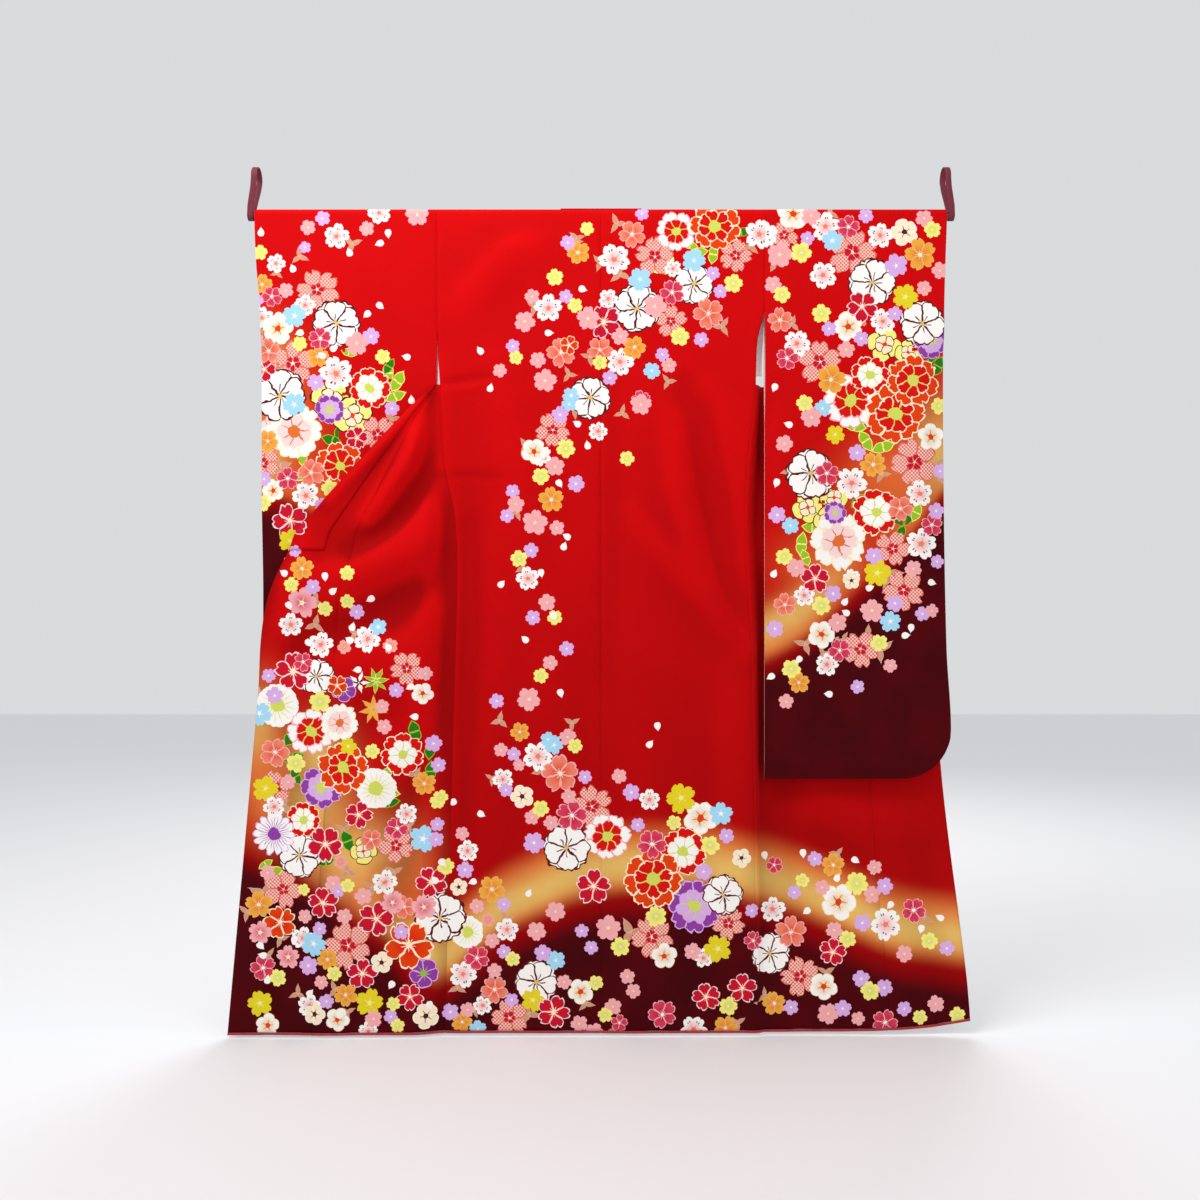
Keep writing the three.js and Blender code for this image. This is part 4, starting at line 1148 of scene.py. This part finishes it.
def paintSpot(finish, slot, x, z, lattice, waver, under):
    centreX, centreZ, grow, turn = finish.storedNumbers(f"place{slot}")
    petals, dip, roundness, notch = finish.storedNumbers(f"form{slot}")
    petal, mark = finish.stored(f"petal{slot}")
    edge, line = finish.stored(f"edge{slot}")
    heart, heartRadius = finish.stored(f"heart{slot}")
    inner, ring = finish.stored(f"inner{slot}")
    # Outlines waver with a motif's size up to a limit, so that small ones keep their form.
    uneven = (silk["waverGrow"] / grow.maths("MAXIMUM", 1)).maths("MINIMUM", silk["mostWaver"])
    dx = (x - centreX) * grow + waver[0] * uneven
    dz = (z - centreZ) * grow + waver[1] * uneven
    away = (dx * dx + dz * dz).maths("SQRT")
    angle = (dz.maths("ARCTAN2", dx) / (2 * math.pi) + turn) * petals

    def outline(shift):
        # Reach of the petals at this angle, and how far it is from a petal's middle.
        part = ((angle + shift).maths("FRACT") * 2 - 1).maths("ABSOLUTE")
        tip = (1 - part * strokes["notch"]).maths("MAXIMUM", 0)
        return 1 - dip * part ** roundness - notch * tip, part, tip

    def crack(part):
        # How far it is to the line between two petals.
        return (1 - part) * away / petals * math.pi

    reach, part, tip = outline(0.0)
    innerReach, innerPart, _ = outline(0.5)
    body = away / reach
    innerBody = away / (innerReach * ring.maths("MAXIMUM", 0.01))
    isRing = ring.above(0)
    colour = finish.mixed(near(mark, marks["lattice"], 0.1) * lattice.above(0.0), petal, edge)
    fade = 1 - away.within(*strokes["fade"])
    colour = finish.mixed(fade * (1 - isRing) * strokes["fadeShare"], colour, inner)
    dashes = near(part, *strokes["dashAcross"]) * near(away, *strokes["dashAlong"])
    colour = finish.mixed(dashes * near(mark, marks["dashes"], 0.1), colour, edge)
    spikes = (part * away).below(strokes["spikeWidth"]) * near(away, *strokes["spikeAlong"])
    colour = finish.mixed(spikes * near(mark, marks["spikes"], 0.1), colour, edge)
    between = crack(part).below(line * strokes["between"]) * line.above(0.01)
    colour = finish.mixed(body.above(1 - line).maths("MAXIMUM", between), colour, edge)
    innerShape = innerBody.below(1) * isRing
    colour = finish.mixed(innerShape, colour, inner)
    innerBetween = crack(innerPart).below(line * strokes["innerBetween"])
    innerLine = innerBody.above(1 - line * strokes["innerLine"]).maths("MAXIMUM", innerBetween)
    colour = finish.mixed(innerShape * innerLine, colour, edge)
    colour = finish.mixed(away.below(heartRadius * (1 + tip * strokes["heartPoint"])), colour, heart)
    return finish.mixed(body.below(1) * grow.above(0.5), under, colour)


def buildLining():
    finish = Finish("liningSilk", Roughness=0.6, Specular_IOR_Level=0.3)
    colour, _ = finish.stored("ground")
    shade = finish.noise(silk["liningScale"], 3, 0.6).within(0.3, 0.8) * silk["liningShare"]
    finish.feed("Base Color", finish.mixed(shade, colour, silk["liningShade"]))
    finish.bump(finish.noise(silk["liningCrepe"], 2, 0.5), 0.0004, 0.5)
    return finish.material


silkFinish = buildSilk()
liningFinish = buildLining()
sheet = {"wall": 1.6, "rim": 0.15}


def sheetShell(grid):
    # Points and faces of a closed sheet, the outer side first, then the inner one and the rim.
    half = gridNormals(grid) * sheet["wall"] / 2
    index = np.arange(grid.shape[0] * grid.shape[1]).reshape(grid.shape[:2])
    loop = np.concatenate([index[0, :], index[1:, -1], index[-1, -2::-1], index[-2:0:-1, 0]])
    middle = np.concatenate([index[1, :], index[1:, -2], index[-2, -2::-1], index[-2:0:-1, 1]])
    flat = grid.reshape(-1, 3)
    rim = flat[loop] + unitRows(flat[loop] - flat[middle]) * sheet["rim"]
    points = np.concatenate([(grid + half).reshape(-1, 3), (grid - half).reshape(-1, 3), rim])
    a, b, c, d = index[:-1, :-1], index[1:, :-1], index[1:, 1:], index[:-1, 1:]
    outer = np.stack([a, b, c, d], -1).reshape(-1, 4)
    inner = np.stack([a, d, c, b], -1).reshape(-1, 4) + index.size
    after = np.roll(loop, -1)
    rimHere = 2 * index.size + np.arange(len(loop))
    rimAfter = np.roll(rimHere, -1)
    rimOuter = np.stack([loop, after, rimAfter, rimHere], -1)
    rimInner = np.stack([rimHere, rimAfter, after + index.size, loop + index.size], -1)
    return points, np.concatenate([outer, inner, rimOuter, rimInner]), len(outer)


def storeColours(mesh, name, domain, values):
    stored = mesh.attributes.new(name, "FLOAT_COLOR", domain)
    stored.data.foreach_set("color", values.astype(np.float32).ravel())


def buildSheet(name, grid, part, design, lined=True):
    points, faces, outerCount = sheetShell(grid)
    total = grid.shape[0] * grid.shape[1]
    mesh = bpy.data.meshes.new(name)
    mesh.vertices.add(len(points))
    mesh.vertices.foreach_set("co", (points / 1000).astype(np.float32).ravel())
    mesh.loops.add(faces.size)
    mesh.loops.foreach_set("vertex_index", faces.astype(np.int32).ravel())
    mesh.polygons.add(len(faces))
    mesh.polygons.foreach_set("loop_start", np.arange(0, faces.size, 4, dtype=np.int32))
    mesh.update(calc_edges=True)
    mesh.validate()
    mesh.materials.append(silkFinish)
    mesh.materials.append(liningFinish)
    slots = np.zeros(len(faces), np.int32)
    slots[outerCount:outerCount * 2] = 1
    mesh.polygons.foreach_set("material_index", slots)
    mesh.polygons.foreach_set("use_smooth", np.ones(len(faces), bool))
    x, level = points[:, 0], shoulderZ - points[:, 2]
    shown = groundColour(x, level, part)
    # Painted shade darkens the troughs of the folds and painted light brightens their ridges, on the outer
    # side only.
    if part in ("fan", "back"):
        shown[:total] *= paintedTroughShade(grid, part).reshape(-1, 1)
    lining = liningColour(x, level, part) if lined else shown
    colours = np.where((np.arange(len(points)) // total == 1)[:, None], lining, shown)
    storeColours(mesh, "ground", "POINT", np.c_[colours, np.ones(len(points))])
    corners = points[faces[:outerCount]]
    half = np.linalg.norm(corners[:, 0] - corners[:, 2], axis=-1).max() / 2
    spots = tableOfSpots(corners.mean(1)[:, [0, 2]], half, design.drawn())
    for spot, values in spots.items():
        full = np.zeros((len(faces), 4), np.float32)
        full[:outerCount] = values
        storeColours(mesh, spot, "FACE", full)
    piece = bpy.data.objects.new(name, mesh)
    bpy.context.scene.collection.objects.link(piece)
    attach(piece, "root")
    return piece


for word, side in (("left", -1), ("right", 1)):
    back = backGrid(side)
    if side < 0:
        back = back[:, ::-1]
    piece = buildSheet(f"back_{word}_silk", back, "back", designs["near"])
    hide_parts(f"back_{word}", f"shoulder_{word}")

    upper = frontUpperGrid(side)
    if side > 0:
        upper = upper[:, ::-1]
    piece = buildSheet(f"front_{word}_upper_silk", upper, "upper", designs["far"])
    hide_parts(f"front_{word}_upper")

    sleeve = sleeveGrid(side)
    piece = buildSheet(f"sleeve_{word}_silk", sleeve, "sleeve", designs["near"])
    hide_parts(f"sleeve_{word}_back", f"sleeve_{word}_front", f"sleeve_{word}_top")

    body = fanBodyGrid(side)
    okumi = okumiGrid(side)
    collarEnd = okumi[:np.searchsorted(frontLevels(), collar["endLevel"]), okumi.shape[1] // 2:]
    if side < 0:
        body, okumi, collarEnd = body[:, ::-1], okumi[:, ::-1], collarEnd[:, ::-1]
    fanDesign = designs[word]
    piece = buildSheet(f"front_{word}_silk", body, "fan", fanDesign)
    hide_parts(f"front_{word}")
    piece = buildSheet(f"okumi_{word}_silk", okumi, "fan", fanDesign)
    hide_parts(f"okumi_{word}")
    collarEnd = movedOut(collarEnd, collar["endLift"])
    collarPiece = buildSheet(f"collar_end_{word}_silk", collarEnd, "fan", fanDesign, False)
    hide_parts(f"collar_end_{word}")
    print(f"{word} side sewn")

piece = buildSheet("collar_silk", collarGrid()[:, ::-1], "upper", designs["far"], False)
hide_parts("collar")


# Roll of lining along the hem
hemRoll = {
    "radius": 2.6, "sides": 12, "flatness": 0.9, "gap": 0.3, "swells": ((0.06, 23), (0.04, 9)),
    "tones": ((0.3, 0.004, 0.012, 1), (0.44, 0.01, 0.02, 1)),
}


def tubeMesh(name, rings, joined=False):
    # A smooth tube through rings of points, capped unless its ends are joined.
    rings = np.array(rings)
    count, sides = rings.shape[:2]
    index = np.arange(count * sides).reshape(count, sides)
    here = index if joined else index[:-1]
    after = np.roll(index, -1, 0) if joined else index[1:]
    faces = np.stack([here, np.roll(here, -1, 1), np.roll(after, -1, 1), after], -1).reshape(-1, 4)
    polygons = [tuple(int(i) for i in face) for face in faces]
    if not joined:
        polygons += [tuple(int(i) for i in index[0][::-1]), tuple(int(i) for i in index[-1])]
    mesh = bpy.data.meshes.new(name)
    mesh.from_pydata([tuple(point / 1000) for point in rings.reshape(-1, 3)], [], polygons)
    mesh.polygons.foreach_set("use_smooth", np.ones(len(polygons), bool))
    if not joined:
        mesh.polygons[-1].use_smooth = mesh.polygons[-2].use_smooth = False
    mesh.update()
    piece = bpy.data.objects.new(name, mesh)
    bpy.context.scene.collection.objects.link(piece)
    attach(piece, "root")
    return piece


def buildHemFinish():
    finish = Finish("hemLining", Roughness=0.55, Sheen_Weight=0.15)
    shade = finish.noise(60, 3, 0.6).within(0.3, 0.7)
    finish.feed("Base Color", finish.mixed(shade, *hemRoll["tones"]))
    finish.bump(finish.noise(900, 2, 0.6, (0.5, 1, 1)), 0.0005, 0.6)
    return finish.material


hemFinish = buildHemFinish()


def buildHemRoll(name, node, row):
    # The row runs along the bottom of a sheet, with x rising.
    turns = np.linspace(2 * math.pi, 0, hemRoll["sides"], endpoint=False)
    rings = []
    for point in row:
        swell = 1 + sum(share * math.sin(point[0] / pitch) for share, pitch in hemRoll["swells"])
        swell *= hemRoll["radius"]
        y = point[1] + swell * hemRoll["flatness"] * np.sin(turns)
        z = point[2] - hemRoll["radius"] - hemRoll["gap"] + swell * np.cos(turns)
        rings.append(np.stack([np.full(len(turns), point[0]), y, z], -1))
    piece = tubeMesh(name, rings)
    piece.data.materials.append(hemFinish)
    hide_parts(node)


backRow = np.concatenate([backGrid(-1)[-1][::-1], backGrid(1)[-1][1:]])
buildHemRoll("hem_back_silk", "hem_roll_back", backRow)
for word, side in (("left", -1), ("right", 1)):
    row = np.concatenate([fanBodyGrid(side)[-1], okumiGrid(side)[-1][1:]])
    buildHemRoll(f"hem_{word}_silk", f"hem_roll_{word}", row if side > 0 else row[::-1])
print("hem rolled")

# Strap loops
strap = {
    "width": 11, "thickness": 1.6, "bulge": 0.25, "bevel": 0.6, "topRadius": 20, "rodRadius": 9, "rodGap": 0.3,
    "outAtTop": 667, "outAtRod": 677.3, "topSteps": 33, "rodSteps": 21, "straightSteps": (0.25, 0.5, 0.75),
    "ribs": 2600, "tones": ((0.09, 0.006, 0.016, 1), (0.24, 0.022, 0.05, 1)),
}


def strapPath():
    # Over the top, down, round the rod and up again: y, z and the turn of the tape.
    top = strap["topRadius"] + strap["thickness"] / 2
    bottom = strap["rodRadius"] + strap["rodGap"] + strap["thickness"] / 2
    lean = math.asin((top - bottom) / rodDrop)

    def bend(radius, drop, start, end, steps):
        return [(radius * math.cos(t), radius * math.sin(t) - drop, t) for t in np.linspace(start, end, steps)]

    def straight(a, b, turn):
        return [(mix(a[0], b[0], share), mix(a[1], b[1], share), turn) for share in strap["straightSteps"]]

    downTurn, upTurn = math.pi + lean, 2 * math.pi - lean
    overTop = bend(top, 0, -lean, downTurn, strap["topSteps"])
    underRod = bend(bottom, rodDrop, downTurn, upTurn, strap["rodSteps"])
    down = straight(overTop[-1], underRod[0], downTurn)
    return overTop + down + underRod + straight(underRod[-1], overTop[0], upTurn)


def strapOutline():
    # The tape's section: along its width, then across it as a share of half its thickness.
    half, bevel, bulge = strap["width"] / 2, strap["bevel"], strap["bulge"]
    edge = [(half, -0.5), (half + bulge, 0), (half, 0.5), (half - bevel, 1), (0, 1.0), (bevel - half, 1)]
    return edge + [(-across, -through) for across, through in edge]


def buildStrapFinish():
    finish = Finish("strapTape", Roughness=0.75)
    x = finish.axes()[0]
    ribs = ((x * strap["ribs"]).maths("SINE") * 0.5 + 0.5) * 0.7 + finish.noise(700, 2) * 0.3
    finish.feed("Base Color", finish.mixed(ribs, *strap["tones"]))
    finish.bump(ribs, 0.0005, 0.6)
    return finish.material


strapFinish = buildStrapFinish()
for word, side in (("left", -1), ("right", 1)):
    rings = []
    for y, z, turn in strapPath():
        centre = side * mix(strap["outAtRod"], strap["outAtTop"], float(ramp(z, -rodDrop, 0)))
        lift = np.array([math.cos(turn), math.sin(turn)]) * strap["thickness"] / 2
        rings.append([(centre + a, y + b * lift[0], z + b * lift[1]) for a, b in strapOutline()])
    piece = tubeMesh(f"strap_{word}", rings, True)
    piece.data.materials.append(strapFinish)
    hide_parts(f"strap_loop_{word}")
print("strap loops made")

# Rod
rod = {
    "radius": 9, "halfLength": 684, "endBevel": 2.2, "bevelSteps": 4, "sides": 64, "smoothBelow": 40,
    "tones": ((0.02, 0.012, 0.01, 1), (0.06, 0.035, 0.026, 1)),
}


def buildRodFinish():
    finish = Finish("lacqueredWood", Roughness=0.28, Coat_Weight=0.5, Coat_Roughness=0.12)
    grain = finish.noise(40, 5, 0.65, (0.06, 1, 1))
    finish.feed("Base Color", finish.mixed(grain.within(0.35, 0.7), *rod["tones"]))
    finish.feed("Roughness", 0.24 + grain * 0.16)
    finish.bump(grain, 0.0002, 0.3)
    return finish.material


def buildRod():
    clearSelection()
    bpy.ops.mesh.primitive_cylinder_add(
        vertices=rod["sides"], radius=rod["radius"] / 1000, depth=2 * rod["halfLength"] / 1000,
        location=(0, 0, -rodDrop / 1000), rotation=(0, math.radians(90), 0),
    )
    piece = bpy.context.object
    piece.name = "rod_wood"
    bpy.ops.object.transform_apply(location=True, rotation=True, scale=True)
    bpy.ops.object.mode_set(mode="EDIT")
    bpy.ops.mesh.select_all(action="DESELECT")
    bpy.ops.object.mode_set(mode="OBJECT")
    for edge in piece.data.edges:
        ends = [piece.data.vertices[i].co.x for i in edge.vertices]
        edge.select = abs(ends[0] - ends[1]) < 1e-5  # the edges round the two ends
    bpy.ops.object.mode_set(mode="EDIT")
    bpy.ops.mesh.select_mode(type="EDGE")
    bpy.ops.mesh.bevel(offset=rod["endBevel"] / 1000, segments=rod["bevelSteps"], affect="EDGES")
    bpy.ops.object.mode_set(mode="OBJECT")
    bpy.ops.object.shade_smooth_by_angle(angle=math.radians(rod["smoothBelow"]))
    piece.data.materials.append(buildRodFinish())
    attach(piece, "root")
    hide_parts("rod")


buildRod()
print("rod made")

print("furisode finished")
